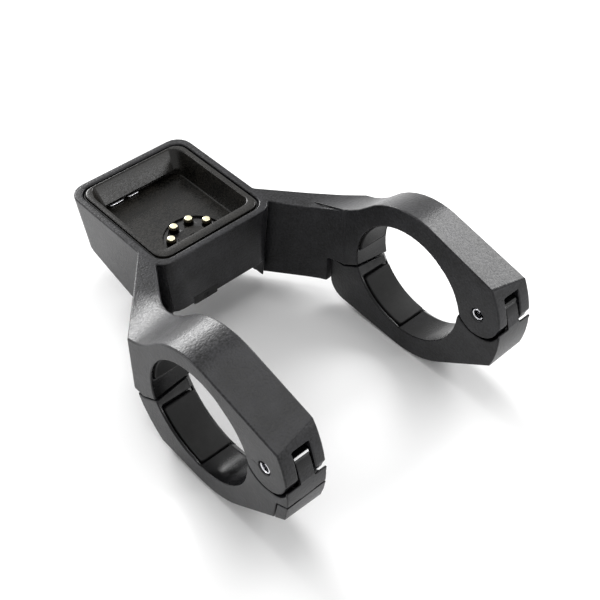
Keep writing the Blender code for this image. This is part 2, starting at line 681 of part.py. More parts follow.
BOSS_TOP_Z = TRAY_BASE_Z + TRAY_FLOOR_THICK / 2
for k, (x, y) in enumerate(BOSSES):
    post = [(0.0, SCREW_TOP_Z + FIT), (COVER_SCREW_R + FIT, SCREW_TOP_Z + FIT), (COVER_SCREW_R + FIT, BOSS_Z),
            (BOSS_R, BOSS_Z), (BOSS_R, BOSS_TOP_Z), (0.0, BOSS_TOP_Z)]
    boss = turned("boss_%d" % (k + 1), post, ROUND)
    cut(tray, stand(boss, x, y), "UNION")
FLOOR_CUT_Z0 = TRAY_BASE_Z - PAST
FLOOR_CUT_Z1 = TRAY_FLOOR_Z + PAST
cut(tray, prism("carrier_window", horseshoe(CARRIER_HALF + FIT), FLOOR_CUT_Z0, FLOOR_CUT_Z1, "Z"))
cut(tray, stand(rod("lock_hole", LOCK_HOLE_R, FLOOR_CUT_Z0, FLOOR_CUT_Z1, ROUND), 0.0, CONTACT_Y))
finish(tray, SMOOTH_PLASTIC)

# Seal in the groove between the tray and the rim
SEAL_Z1 = RIM_Z - SEAL_DOWN
SEAL_Z0 = SEAL_Z1 - SEAL_H
outer = drafted_rect(RIM_WIDTH + SEAL_INSET, SEAL_Z1 - SEAL_H / 2)
inner = drafted_rect(TRAY_INSET - SEAL_INSET, SEAL_Z1 - SEAL_H / 2)
seal = prism("tray_seal", rounded_rect(*outer, RIM_CORNER_R - RIM_WIDTH / 2), SEAL_Z0, SEAL_Z1, "Z", PARTS)
cut(seal, prism("seal_inside", rounded_rect(*inner, RIM_CORNER_R - TRAY_INSET / 2),
                SEAL_Z0 - PAST, SEAL_Z1 + PAST, "Z"))
finish(seal, RUBBER)

# Contact carrier, a horseshoe block let into the tray floor, and the board under it
carrier = prism("contact_carrier", horseshoe(CARRIER_HALF), CARRIER_Z0, CARRIER_Z1, "Z", PARTS)
finish(carrier, BLACK_PLASTIC)
BOARD_X = COVER_X - BOARD_SIDE_GAP
board_rect = (-BOARD_X, BOARD_X, CAVITY_Y0 + GAP, CAVITY_Y1 - GAP)
board = drafted_box("contact_board", board_rect, board_rect, BOARD_Z0, BOARD_Z1, BOARD_CORNER_R, PARTS)
finish(board, LAMINATE)


def coil(name, r, wire_r, low, high, turns, group):
    """A round wire wound about Z: a six-sided ring of points carried up a helix of twelve steps a turn."""
    bm = bmesh.new()
    ring = [bm.verts.new((a, 0.0, b)) for a, b in disc(r, low, wire_r, 6)]
    wire = [bm.faces.new(ring)]
    steps = turns * 12
    turn = Matrix.Rotation(math.radians(30.0), 3, "Z")
    for j in range(steps):
        grown = bmesh.ops.extrude_face_region(bm, geom=wire)
        moved = [item for item in grown["geom"] if isinstance(item, bmesh.types.BMVert)]
        bmesh.ops.rotate(bm, cent=(0, 0, 0), matrix=turn, verts=moved)
        bmesh.ops.translate(bm, vec=(0, 0, (high - low) / steps), verts=moved)
        if j:
            bmesh.ops.delete(bm, geom=wire, context="FACES_ONLY")
        wire = [item for item in grown["geom"] if isinstance(item, bmesh.types.BMFace)]
    return put(name, bm, group)


# Spring contacts: gold plunger, brass barrel and coil spring each
for k in range(CONTACT_COUNT):
    angle = math.radians(CONTACT_FIRST + CONTACT_STEP * k)
    x = CONTACT_RING_R * math.cos(angle)
    y = CONTACT_Y + CONTACT_RING_R * math.sin(angle)
    tag = "_%d" % (k + 1)
    mouth = stepped("contact_mouth" + tag, BARREL_R + FIT, TIP_R + CARRIER_MOUTH,
                    CARRIER_Z0 - PAST, BARREL_Z1 + FIT, CARRIER_Z1 + PAST, ROUND)
    cut(carrier, stand(mouth, x, y))
    solder = rod("board_hole" + tag, TAIL_R + FIT, BOARD_Z0 - PAST, BOARD_Z1 + PAST, SMALL)
    cut(board, stand(solder, x, y))
    tip = [(0.0, SHOULDER_Z0), (SHOULDER_R, SHOULDER_Z0), (SHOULDER_R, SHOULDER_Z1), (TIP_R, SHOULDER_Z1),
           (TIP_R, TIP_Z - TIP_DOME), (TIP_FLAT_R, TIP_Z - TIP_DOME / 3), (0.0, TIP_Z)]
    plunger = turned("contact_plunger" + tag, tip, SMALL, PARTS)
    finish(stand(plunger, x, y), GOLD)
    shell = [(0.0, BARREL_Z0 - TAIL_LENGTH), (TAIL_R, BARREL_Z0 - TAIL_LENGTH), (TAIL_R, BARREL_Z0),
             (BARREL_R, BARREL_Z0), (BARREL_R, BARREL_Z1), (BARREL_LIP_R, BARREL_Z1),
             (BARREL_LIP_R, BARREL_LIP_Z), (BARREL_BORE_R, BARREL_LIP_Z),
             (BARREL_BORE_R, BARREL_FLOOR_Z), (0.0, BARREL_FLOOR_Z)]
    barrel = turned("contact_barrel" + tag, shell, SMALL, PARTS)
    finish(stand(barrel, x, y), BRASS)
    seat_in = SPRING_WIRE_R + FIT / 2
    spring = coil("contact_spring" + tag, SPRING_R, SPRING_WIRE_R, BARREL_FLOOR_Z + seat_in,
                  SHOULDER_Z0 - seat_in, SPRING_TURNS, PARTS)
    finish(stand(spring, x, y), BRIGHT_STEEL)

# Magnet under the tray floor
MAGNET_Z1 = TRAY_BASE_Z - GAP
magnet = rod("retaining_magnet", MAGNET_R, MAGNET_Z1 - MAGNET_THICK, MAGNET_Z1, ROUND, PARTS)
finish(stand(magnet, 0.0, CONTACT_Y + MAGNET_BACK), NICKEL)

# Bottom cover and the four screws through it
cover_rect = (-COVER_X, COVER_X, COVER_Y0, COVER_Y1)
cover = drafted_box("bottom_cover", cover_rect, cover_rect, COVER_Z0, COVER_Z1, COVER_CORNER_R, PARTS)
HEAD_Z = COVER_Z0 + COVER_SCREW_HEAD_H
for k, (x, y) in enumerate(BOSSES):
    sink = stepped("cover_sink_%d" % (k + 1), COVER_SCREW_HEAD_R + FIT, COVER_SCREW_R + FIT,
                   COVER_Z0 - PAST, HEAD_Z + FIT, COVER_Z1 + PAST, ROUND)
    cut(cover, stand(sink, x, y))
    head = [(0.0, COVER_Z0 + COVER_SCREW_KEY_DEPTH), (COVER_SCREW_KEY_R, COVER_Z0),
            (COVER_SCREW_HEAD_R, COVER_Z0), (COVER_SCREW_HEAD_R, HEAD_Z), (COVER_SCREW_R, HEAD_Z),
            (COVER_SCREW_R, SCREW_TOP_Z), (0.0, SCREW_TOP_Z)]
    screw = turned("cover_screw_%d" % (k + 1), head, SMALL, PARTS)
    finish(stand(screw, x, y), BLACK_STEEL)
finish(cover, GRAINED_PLASTIC)

# Cable grommet in the bottom edge of the front wall
grommet = box("cable_grommet", GROMMET_X0, GROMMET_X1, RIM_Y0 - GROMMET_PROUD, WELL_Y0 - GAP,
              GROMMET_Z0, GROMMET_Z1, PARTS)
wire_way = rod("wire_way", GROMMET_HOLE_R, -FRONT_WALL - PAST, FRONT_WALL + PAST, SMALL)
wire_way.location = Vector((GROMMET_X, WELL_Y0 - FRONT_WALL / 2, (GROMMET_Z0 + GROMMET_Z1) / 2)) * MM
wire_way.rotation_euler = (math.pi / 2, 0.0, 0.0)
cut(grommet, wire_way)
finish(grommet, RUBBER)


def belly_flat_z(belly_r, y):
    """Height of the nearly flat belly behind the seat at one y."""
    rise = math.radians(BELLY_REAR_SLOPE)
    return (y * math.sin(rise) - belly_r) / math.cos(rise)


# Lower clamp halves, each with its tongue between the housing's ears and the seat's far rim chamfered
PART = GAP + FIT / 2
corner_y = REAR_IN_Y - REAR_CORNER_R
corner_z = belly_flat_z(BELLY_IN_R - REAR_CORNER_R, corner_y)
rear_in = arc(corner_y, corner_z, REAR_CORNER_R, 270.0 + BELLY_REAR_SLOPE, 360.0, 6)
meet = BELLY_REAR_SLOPE + math.degrees(math.acos(BELLY_OUT_R / REAR_OUT_R))
rear_out = arc(0.0, 0.0, REAR_OUT_R, 270.0 + meet, 360.0 - REAR_OUT_END, 7)
INNER_LOWER = lower_outline(BELLY_IN_R, rear_in, (REAR_IN_Y, NOTCH_IN_Z - GAP),
                            (SEAT_R + KNEE_IN_WALL, KNEE_IN_Z - PART), SEAT_SIDE_IN_Z - PART)
OUTER_LOWER = lower_outline(BELLY_OUT_R, rear_out[:-1], rear_out[-1],
                            (SEAT_R + KNEE_OUT_WALL, KNEE_OUT_Z - PART), SEAT_SIDE_OUT_Z - PART)
lip_angle = math.degrees(math.asin(LIP_DROP / EAR_POCKET_R))
ear_pocket = arc(PIN_Y, PIN_Z, EAR_POCKET_R, 180.0 + lip_angle, 480.0, FINE - 12)
ear_pocket += [(CHIN_Y - CHIN_R - PAST, ear_pocket[-1][1]), (CHIN_Y - CHIN_R - PAST, PIN_Z - LIP_DROP)]
for side, sign in SIDES:
    pin_axis = (sign * MID_X, PIN_Y, PIN_Z)
    hinge = axis_empty(side + "_clamp_axis", pin_axis)
    lo = sign * (CLAMP_IN_X - PAST)
    hi = sign * (CLAMP_OUT_X + PAST)
    tongue_x0 = sign * (SLOT_X0 + GAP)
    tongue_x1 = sign * (SLOT_X1 - GAP)
    stations = [(sign * CLAMP_IN_X, INNER_LOWER), (sign * CLAMP_OUT_X, OUTER_LOWER)]
    clamp = loft(side + "_lower_clamp", stations, PARTS)
    rim_x = CLAMP_OUT_X if side == "right" else -CLAMP_IN_X
    seat = disc(LOWER_SEAT_Y, LOWER_SEAT_Z, SEAT_R, FINE)
    flare = disc(LOWER_SEAT_Y, LOWER_SEAT_Z, SEAT_R + RIM_CHAMFER + PAST, FINE)
    cut(clamp, loft(side + "_lower_seat", [(rim_x - CLAMP_WIDTH - PAST, seat), (rim_x - RIM_CHAMFER, seat),
                                           (rim_x + PAST, flare)]))
    eye = disc(PIN_Y, PIN_Z, BUSH_R + FIT, FINE)
    cut(clamp, prism(side + "_bush_eye", eye, lo, hi, "X"))
    cut(clamp, prism(side + "_inner_ear_pocket", ear_pocket, lo, tongue_x0, "X"))
    cut(clamp, prism(side + "_outer_ear_pocket", ear_pocket, tongue_x1, hi, "X"))
    recess = seat_sector(LOWER_SEAT_Y, LOWER_SEAT_Z, SEAT_R - PAST, PAD_OUT_R + GAP,
                         LOWER_PAD_A0 - PAD_END_GAP, LOWER_PAD_A1 + LOWER_PAD_TOP_GAP)
    cut(clamp, prism(side + "_lower_recess", recess, sign * (PAD_X0 - GAP), sign * (PAD_X1 + GAP), "X"))
    way = stepped(side + "_screw_way", SCREW_HEAD_R + FIT, SCREW_R + FIT,
                  -BELLY_IN_R, SCREW_SEAT_S + FIT, BELLY_IN_R, ROUND)
    cut(clamp, on_screw(way, sign))
    if side == "left":
        front = CHIN_Y - CHIN_R - PAST
        back = PIN_Y - CAP_BACK
        foot = PIN_Y - CAP_FOOT
        foot_z = belly_flat_z(BELLY_IN_R, foot)
        bite = [(front, CAP_FRONT_Z), (back, CAP_BACK_Z), (foot, CAP_FOOT_Z), (foot, foot_z), (front, foot_z)]
        shrunk = [(front, CAP_FRONT_Z - GAP), (back - GAP, CAP_BACK_Z - GAP / 2),
                  (foot - GAP, CAP_FOOT_Z), (foot - GAP, foot_z), (front, foot_z)]
        cap = loft("left_corner_cap", stations, PARTS)
        cut(cap, prism("cap_block", shrunk, lo, hi, "X"), "INTERSECT")
        cut(clamp, prism("cap_bite", bite, lo, hi, "X"))
        finish(ride(origin_at(cap, pin_axis), hinge), GRAINED_PLASTIC)
    finish(ride(origin_at(clamp, pin_axis), hinge), GRAINED_PLASTIC)

    # Bush in the tongue and the slotted spring pin through it
    bush = prism(side + "_hinge_bush", disc(PIN_Y, PIN_Z, BUSH_R, FINE), tongue_x0, tongue_x1, "X", PARTS)
    cut(bush, prism(side + "_bush_bore", disc(PIN_Y, PIN_Z, PIN_R + FIT, ROUND), lo, hi, "X"))
    finish(ride(origin_at(bush, pin_axis), hinge), BRIGHT_STEEL)
    core_r = PIN_R - PIN_WALL
    slit = math.degrees(math.asin(PIN_SLIT / 2 / PIN_R))
    core_slit = math.degrees(math.asin(PIN_SLIT / 2 / core_r))
    ring = arc(PIN_Y, PIN_Z, PIN_R, slit, 360.0 - slit, ROUND)
    ring += arc(PIN_Y, PIN_Z, core_r, 360.0 - core_slit, core_slit, SMALL)
    pin = prism(side + "_hinge_pin", ring, sign * (CLAMP_IN_X + FIT), sign * (CLAMP_OUT_X - FIT), "X", PARTS)
    finish(pin, BRIGHT_STEEL)

    # Clamp screw from below, riding on the lower half, and the insert in the housing
    head_s = SCREW_SEAT_S - SCREW_HEAD_H
    tip_s = SCREW_SEAT_S + SCREW_LENGTH
    bolt = [(0.0, head_s + SCREW_KEY_DEPTH), (SCREW_KEY_R, head_s + SCREW_KEY_DEPTH), (SCREW_KEY_R, head_s),
            (SCREW_HEAD_R, head_s), (SCREW_HEAD_R, SCREW_SEAT_S), (SCREW_R, SCREW_SEAT_S),
            (SCREW_R, tip_s - SCREW_TIP_CHAMFER), (SCREW_R - SCREW_TIP_CHAMFER, tip_s), (0.0, tip_s)]
    screw = on_screw(turned(side + "_clamp_screw", bolt, ROUND, PARTS), sign)
    finish(ride(screw, hinge), BLACK_STEEL)
    insert_top = INSERT_S + INSERT_LENGTH
    nut = [(INSERT_BORE_R, INSERT_S), (INSERT_R, INSERT_S),
           (INSERT_R, insert_top), (INSERT_BORE_R, insert_top)]
    insert = on_screw(turned(side + "_threaded_insert", nut, ROUND, PARTS), sign)
    finish(insert, BRASS)

    # Rubber pads, one in each half of the bore
    low_pad = seat_sector(LOWER_SEAT_Y, LOWER_SEAT_Z, PAD_IN_R, PAD_OUT_R, LOWER_PAD_A0, LOWER_PAD_A1)
    pad = prism(side + "_lower_pad", low_pad, sign * PAD_X0, sign * PAD_X1, "X", PARTS)
    finish(ride(origin_at(pad, pin_axis), hinge), RUBBER)
    high_pad = seat_sector(UPPER_SEAT_Y, UPPER_SEAT_Z, PAD_IN_R, PAD_OUT_R, UPPER_PAD_A0, UPPER_PAD_A1)
    pad = prism(side + "_upper_pad", high_pad, sign * PAD_X0, sign * PAD_X1, "X", PARTS)
    finish(pad, RUBBER)
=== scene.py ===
import math

import bmesh
import bpy
import numpy as np
from mathutils import Matrix, Vector
from mathutils.bvhtree import BVHTree


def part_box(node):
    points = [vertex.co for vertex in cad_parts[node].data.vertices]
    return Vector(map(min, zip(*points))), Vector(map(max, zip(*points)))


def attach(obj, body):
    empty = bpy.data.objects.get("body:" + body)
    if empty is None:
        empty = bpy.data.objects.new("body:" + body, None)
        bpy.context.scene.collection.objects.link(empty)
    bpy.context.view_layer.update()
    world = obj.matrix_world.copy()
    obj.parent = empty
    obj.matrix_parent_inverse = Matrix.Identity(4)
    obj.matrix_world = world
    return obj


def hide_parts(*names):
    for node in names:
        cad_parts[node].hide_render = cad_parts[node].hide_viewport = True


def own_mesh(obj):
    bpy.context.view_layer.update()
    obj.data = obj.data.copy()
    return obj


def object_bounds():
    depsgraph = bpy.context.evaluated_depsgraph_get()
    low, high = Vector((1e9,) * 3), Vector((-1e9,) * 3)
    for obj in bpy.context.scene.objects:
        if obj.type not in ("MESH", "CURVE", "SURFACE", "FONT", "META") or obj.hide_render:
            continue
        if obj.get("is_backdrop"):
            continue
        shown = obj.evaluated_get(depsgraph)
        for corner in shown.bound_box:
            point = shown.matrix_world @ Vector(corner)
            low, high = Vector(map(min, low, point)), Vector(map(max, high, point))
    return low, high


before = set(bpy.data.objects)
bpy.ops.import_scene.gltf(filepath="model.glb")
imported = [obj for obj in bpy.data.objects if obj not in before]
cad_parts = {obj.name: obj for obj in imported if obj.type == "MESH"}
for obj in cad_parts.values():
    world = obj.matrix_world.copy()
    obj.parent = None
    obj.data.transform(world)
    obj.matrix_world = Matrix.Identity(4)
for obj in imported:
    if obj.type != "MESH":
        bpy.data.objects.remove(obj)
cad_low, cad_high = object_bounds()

# Table top and studio. The dock lies on white sweep paper with its clamps nearest. Soft lamps stand to its
# right, its left, behind it and straight over it, with a small one in front that the polished edges of the
# hinge tongues mirror, and the white room fills in the rest.

MM = 0.001
TABLE_Z = cad_low.z - 0.0001
TABLE_HALF, TABLE_LINES = 1.6, 9
MIDDLE = (0.0, 0.02, 0.0)
TOGETHER, NO_LENGTH = 1e-7, 1e-8
CREASE = math.radians(40.0)
ROOM_FILL = 0.50
SENSOR_WIDTH, LENS = 36.0, 65.96
EYE_PLACE = (-0.11887, -0.12156, 0.18224)
EYE_FORWARD = (0.4776, 0.5214, -0.7071)
EYE_ROLL = math.radians(-0.40)


def tone(code):
    """A colour code written as sRGB hex, turned to linear light by the sRGB curve."""
    s = np.array([int(code[k:k + 2], 16) for k in (1, 3, 5)]) / 255.0
    linear = np.where(s <= 0.04045, s / 12.92, ((s + 0.055) / 1.055) ** 2.4)
    return (*linear.tolist(), 1.0)


def add(tree, kind, settings=None, values=None, links=None):
    """One node: settings are its own properties, values its plain sockets, and links the outputs that are
    joined to it."""
    node = tree.nodes.new("ShaderNode" + kind)
    for name, value in (settings or {}).items():
        setattr(node, name, value)
    for socket, value in (values or {}).items():
        node.inputs[socket].default_value = value
    for socket, output in (links or {}).items():
        tree.links.new(output, node.inputs[socket])
    return node


def plainly_seen(tree):
    """An output that is 1 where the camera, a reflection or a clear piece looks and 0 for all other light:
    the largest of the three light path values."""
    path = add(tree, "LightPath")
    mirrored = add(tree, "Math", {"operation": "MAXIMUM"},
                   links={0: path.outputs["Is Camera Ray"], 1: path.outputs["Is Glossy Ray"]})
    clear = add(tree, "Math", {"operation": "MAXIMUM"},
                links={0: mirrored.outputs[0], 1: path.outputs["Is Transmission Ray"]})
    return clear.outputs[0]


def finish_of(name, sockets):
    """A finish named for its material, with the constants of its shader set and no pattern yet."""
    material = bpy.data.materials.new(name)
    material.use_nodes = True
    shader = material.node_tree.nodes["Principled BSDF"]
    for socket, value in sockets.items():
        shader.inputs[socket].default_value = value
    return material, material.node_tree, shader


def object_of(name, data):
    """An object that holds a mesh, a lamp or a camera, linked into the scene."""
    holder = bpy.data.objects.new(name, data)
    bpy.context.scene.collection.objects.link(holder)
    return holder


def skin(name, points, round_columns=False, round_rows=False):
    """Quads over a lattice of points: cell (i, j) joins its four neighbours, and a row or column may close on
    itself. Points that fall together are merged, which closes poles and seams."""
    rows, columns = points.shape[:2]
    index = np.arange(rows * columns).reshape(rows, columns)
    if round_columns:
        index = np.concatenate([index, index[:, :1]], 1)
    if round_rows:
        index = np.concatenate([index, index[:1]], 0)
    quads = np.stack([index[:-1, :-1], index[:-1, 1:], index[1:, 1:], index[1:, :-1]], -1)
    mesh = bpy.data.meshes.new(name)
    mesh.from_pydata(points.reshape(-1, 3), [], quads.reshape(-1, 4))
    work = bmesh.new()
    work.from_mesh(mesh)
    bmesh.ops.remove_doubles(work, verts=work.verts, dist=TOGETHER)
    bmesh.ops.dissolve_degenerate(work, edges=work.edges, dist=NO_LENGTH)
    bmesh.ops.recalc_face_normals(work, faces=work.faces)
    work.to_mesh(mesh)
    work.free()
    mesh.shade_smooth()
    mesh.set_sharp_from_angle(angle=CREASE)
    return object_of(name, mesh)


def face_up(mesh):
    """Turns a level sheet over where its first face looks down."""
    if mesh.polygons[0].normal.z < 0:
        mesh.flip_normals()


def lamp(name, place, size, power):
    """A soft lamp with an oblong face, in metres and watts, turned to the middle of the object."""
    light = bpy.data.lights.new(name, "AREA")
    light.shape = "RECTANGLE"
    light.size, light.size_y = size
    light.energy = power
    holder = object_of(name, light)
    holder.location = place
    holder.rotation_euler = (Vector(MIDDLE) - Vector(place)).to_track_quat("-Z", "Y").to_euler()


# Matt paper: white where the eye or a reflection meets it, a little grey in the light it passes on
sweep_paper, tree, shader = finish_of("white_sweep_paper", {"Roughness": 0.9, "Specular IOR Level": 0.0})
paper = add(tree, "Mix", {"data_type": "RGBA"}, {6: tone("#bebebe"), 7: tone("#ffffff")},
            {0: plainly_seen(tree)})
tree.links.new(paper.outputs[2], shader.inputs["Base Color"])

line = np.linspace(-TABLE_HALF, TABLE_HALF, TABLE_LINES)
spread_x, spread_y = np.meshgrid(line, line, indexing="ij")
table = skin("table_top", np.stack([spread_x, spread_y, np.full_like(spread_x, TABLE_Z)], -1))
face_up(table.data)
table.data.materials.append(sweep_paper)
table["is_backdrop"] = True

world = bpy.data.worlds.new("white_room")
bpy.context.scene.world = world
world.use_nodes = True
tree = world.node_tree
room = tree.nodes["Background"]
room.inputs["Color"].default_value = tone("#ffffff")
level = add(tree, "MapRange", values={"To Min": ROOM_FILL, "To Max": 1.0},
            links={"Value": plainly_seen(tree)})
tree.links.new(level.outputs[0], room.inputs["Strength"])

lamp("right_softbox", (0.87, 0.15, 0.51), (0.46, 0.40), 6.0)
lamp("back_softbox", (0.13, 0.93, 0.42), (0.42, 0.34), 10.5)
lamp("left_softbox", (-0.80, 0.66, 0.14), (0.35, 0.30), 2.5)
lamp("top_softbox", (0.05, 0.05, 1.00), (0.50, 0.50), 2.4)
lamp("front_fill", (0.42, -0.86, 0.26), (0.22, 0.11), 1.5)

eye = bpy.data.cameras.new("photo_view")
eye.sensor_width = SENSOR_WIDTH
eye.lens = LENS
eye.clip_start = 0.01
eye.clip_end = 20.0
camera = object_of("photo_view", eye)
forward = Vector(EYE_FORWARD).normalized()
level_right = forward.cross(Vector((0.0, 0.0, 1.0))).normalized()
across = math.cos(EYE_ROLL) * level_right + math.sin(EYE_ROLL) * forward.cross(level_right)
turn = Matrix((across, across.cross(forward), -forward)).transposed().to_4x4()
camera.matrix_world = Matrix.Translation(EYE_PLACE) @ turn
bpy.context.scene.camera = camera
bpy.context.scene.view_settings.view_transform = "Standard"

# Housing. One moulding of charcoal glass-filled nylon: the cradle, both arms and the upper halves of both
# clamps. The tool's spark-eroded faces leave a fine even grain, and the bores are left polished for the bar.

PIN_Y, PIN_Z = -21.72, 6.26
SEAT_R, BORE_DEPTH = 16.7, 1.6
UPPER_SEAT = (-0.424, -1.387)
CLAMP_INNER_X = 26.2
TONGUE_X = (29.25, 33.15)
TONGUE_R = 6.35
NEAR = 0.1
LOOKS_INWARD = 0.7
NOTCH = (-5.15, 38.5)
NOTCH_HALF = (4.0, 1.9)
NOTCH_TOP_Z = -8.0
HOUSING_EASE = 0.4
MERGED = 0.08
FLAT, SHARP = math.radians(1.0), math.radians(32.0)
FLAT_WEIGHT = 60
# Share of the rounding's width that a point may lie off the solid
STRAY = 0.4
# Stretches of the noises that are put to use: of the sum of both, and of the fine one alone
NOISE_SUM, NOISE_FINE = (0.75, 1.25), (0.3, 0.7)


def rows_of(items, what):
    """One property of all points or faces of a mesh, as rows of three numbers."""
    values = np.empty(3 * len(items))
    items.foreach_get(what, values)
    return values.reshape(-1, 3)


def keep_flat(piece):
    """Weighted normals: large faces shade as flat, and the shading turns on the narrow ones between them."""
    piece.modifiers.new("flat_faces", "WEIGHTED_NORMAL").weight = FLAT_WEIGHT


def eased_copy(node, ease, steps=2, drawn=None, wide=None):
    """The solid of a moulding with its edges eased. Its triangles are merged into flat faces, split where an
    outline is hollow so that no face closes a hole. drawn may shift the points, and every edge that turns
    more than 32 degrees is rounded over the width ease in mm, times what wide gives for the edge's middle."""
    work = bmesh.new()
    work.from_mesh(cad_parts[node].data)
    bmesh.ops.remove_doubles(work, verts=work.verts, dist=MERGED * MM)
    bmesh.ops.dissolve_limit(work, angle_limit=FLAT, verts=work.verts, edges=work.edges)
    bmesh.ops.connect_verts_concave(work, faces=work.faces)
    weight = work.edges.layers.float.new("bevel_weight_edge")
    turned_edges = [edge for edge in work.edges if edge.calc_face_angle(0.0) > SHARP]
    middles = np.array([(edge.verts[0].co + edge.verts[1].co) / 2 for edge in turned_edges]) / MM
    widths = wide(middles) if wide else np.ones(len(middles))
    for edge, share in zip(turned_edges, widths / widths.max()):
        edge[weight] = share
    mesh = bpy.data.meshes.new(node + "_moulding")
    work.to_mesh(mesh)
    work.free()
    stale = mesh.attributes.get("custom_normal")
    if stale:
        mesh.attributes.remove(stale)
    if drawn:
        points = drawn(rows_of(mesh.vertices, "co") / MM)
        mesh.vertices.foreach_set("co", (points * MM).ravel())
    mesh.materials.clear()
    mesh.shade_smooth()
    piece = object_of(node + "_moulding", mesh)
    round_over = piece.modifiers.new("eased_edges", "BEVEL")
    round_over.limit_method = "WEIGHT"
    round_over.width = ease * MM * widths.max()
    round_over.segments = steps
    round_over.use_clamp_overlap = False
    round_over.miter_outer = "MITER_ARC"
    # Where roundings meet in too little room they throw points off the solid: those go back to its surface
    solid = BVHTree.FromPolygons([point.co for point in mesh.vertices],
                                 [face.vertices for face in mesh.polygons])
    shape = bpy.data.meshes.new_from_object(piece.evaluated_get(bpy.context.evaluated_depsgraph_get()))
    for point in shape.vertices:
        place, _, _, away = solid.find_nearest(point.co)
        if away > STRAY * round_over.width:
            point.co = place
    piece.modifiers.remove(round_over)
    piece.data = shape
    keep_flat(piece)
    return piece


def fit(piece, body, slot, nodes, *materials):
    """Give a piece its finishes and its body, and let it stand for the solids it shows. The slot is not used.
    """
    for material in materials:
        piece.data.materials.append(material)
    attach(piece, body)
    if nodes:
        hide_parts(*nodes)
    return piece


def polish(piece, seat):
    """Give a clamp half's second finish to the faces that were polished in the tool: those at the seat's
    radius that look at its axis, and the hinge tongue's, close round the pin and between the ears."""
    faces = piece.data.polygons
    x, y, z = rows_of(faces, "center").T / MM
    from_seat = np.stack([y - seat[0], z - seat[1]])
    away = np.hypot(*from_seat)
    inward = -(from_seat * rows_of(faces, "normal").T[1:]).sum(0) / away
    bore = (np.abs(x) > CLAMP_INNER_X - NEAR) & (away < SEAT_R + BORE_DEPTH) & (inward > LOOKS_INWARD)
    between_ears = (np.abs(x) > TONGUE_X[0] - NEAR) & (np.abs(x) < TONGUE_X[1] + NEAR)
    tongue = between_ears & (np.hypot(y - PIN_Y, z - PIN_Z) < TONGUE_R)
    faces.foreach_set("material_index", (bore | tongue).astype(np.int32))


def mottled(name, dark, light, patch, grain, rough, depth, sockets):
    """A finish with two noises on the piece's own coordinates, sizes in mm: their mean takes the colour from
    dark to light, and the fine one also sets the roughness between two values and stands depth high as
    bumps."""
    material, tree, shader = finish_of(name, sockets)
    place = add(tree, "TexCoord")
    broad = add(tree, "TexNoise", values={"Scale": 1 / (patch * MM), "Detail": 3.0},
                links={"Vector": place.outputs["Object"]})
    fine = add(tree, "TexNoise", values={"Scale": 1 / (grain * MM), "Detail": 1.0},
               links={"Vector": place.outputs["Object"]})
    both = add(tree, "Math", {"operation": "ADD"}, links={0: broad.outputs["Fac"], 1: fine.outputs["Fac"]})
    shift = add(tree, "MapRange", values={"From Min": NOISE_SUM[0], "From Max": NOISE_SUM[1]},
                links={"Value": both.outputs[0]})
    shades = add(tree, "ValToRGB", links={"Fac": shift.outputs[0]})
    shades.color_ramp.elements[0].color = tone(dark)
    shades.color_ramp.elements[1].color = tone(light)
    tree.links.new(shades.outputs["Color"], shader.inputs["Base Color"])
    gloss = add(tree, "MapRange", values={"From Min": NOISE_FINE[0], "From Max": NOISE_FINE[1],
                                          "To Min": rough[0], "To Max": rough[1]},
                links={"Value": fine.outputs["Fac"]})
    tree.links.new(gloss.outputs[0], shader.inputs["Roughness"])
    bumps = add(tree, "Bump", values={"Strength": 1.0, "Distance": depth * MM},
                links={"Height": fine.outputs["Fac"]})
    tree.links.new(bumps.outputs[0], shader.inputs["Normal"])
    return material


# Charcoal nylon off a spark-eroded tool: dark, and every grain catches a small point of the lamps.
# The real grain is about 0.2 mm, drawn at 0.50 mm so that it shows at a step away.
nylon = mottled("spark_grained_nylon", "#050506", "#262629", 6.0, 0.50, (0.28, 0.40), 0.05,
                {"IOR": 1.53, "Specular IOR Level": 0.25})
# The same nylon off polished steel: smooth, with slow waves from the flow of the melt in its shine
polished_nylon = mottled("mould_polished_nylon", "#0a0a0b", "#141416", 9.0, 2.5, (0.20, 0.30), 0.01,
                         {"IOR": 1.53, "Specular IOR Level": 0.24})


def crisp_notch(middles):
    """Edge widths of the housing: none round the grommet's notch, where the rubber fills it flush."""
    near = np.all(np.abs(middles[:, :2] - NOTCH) < NOTCH_HALF, axis=1)
    return np.where(near & (middles[:, 2] < NOTCH_TOP_Z), 0.0, 1.0)


housing = eased_copy("housing", HOUSING_EASE, 3, None, crisp_notch)
polish(housing, UPPER_SEAT)
fit(housing, "frame", "housing_plastic", ["housing"], nylon, polished_nylon)

# Lower clamp halves. Each is a moulding of the same nylon that swings on the hinge pin, with a tongue
# between the housing's ears; the left one has a small separate cap let into its front corner.

SIDES = (("left", -1.0), ("right", 1.0))
LOWER_SEAT = (0.424, 1.387)
LOWER_EASE, CAP_EASE = 0.28, 0.22
POCKET_R, POCKET_SHOWN_R = 6.9, 6.45
# Angles about the pin, in degrees, between which the pocket goes over from the one radius to the other
POCKET_CLOSES = (230.0, 258.0)
TOP_EDGE_R, TOP_EDGE_RISE, TOP_EDGE_WIDTH = 6.4, 3.9, 2.0


def close_pocket(points):
    """Draws the hollow under the ears close to them: points at the pocket's radius from the pin axis move in
    along that radius, but not those in front, by angle, which need the room when the half swings."""
    off = points[:, 1:] - (PIN_Y, PIN_Z)
    away = np.hypot(*off.T)
    angle = np.degrees(np.arctan2(off[:, 1], off[:, 0])) % 360.0
    shown = np.interp(angle, POCKET_CLOSES, (POCKET_R, POCKET_SHOWN_R))
    share = np.where(np.abs(away - POCKET_R) < NEAR, shown / np.maximum(away, 1.0), 1.0)
    return np.column_stack([points[:, 0], off * share[:, None] + (PIN_Y, PIN_Z)])


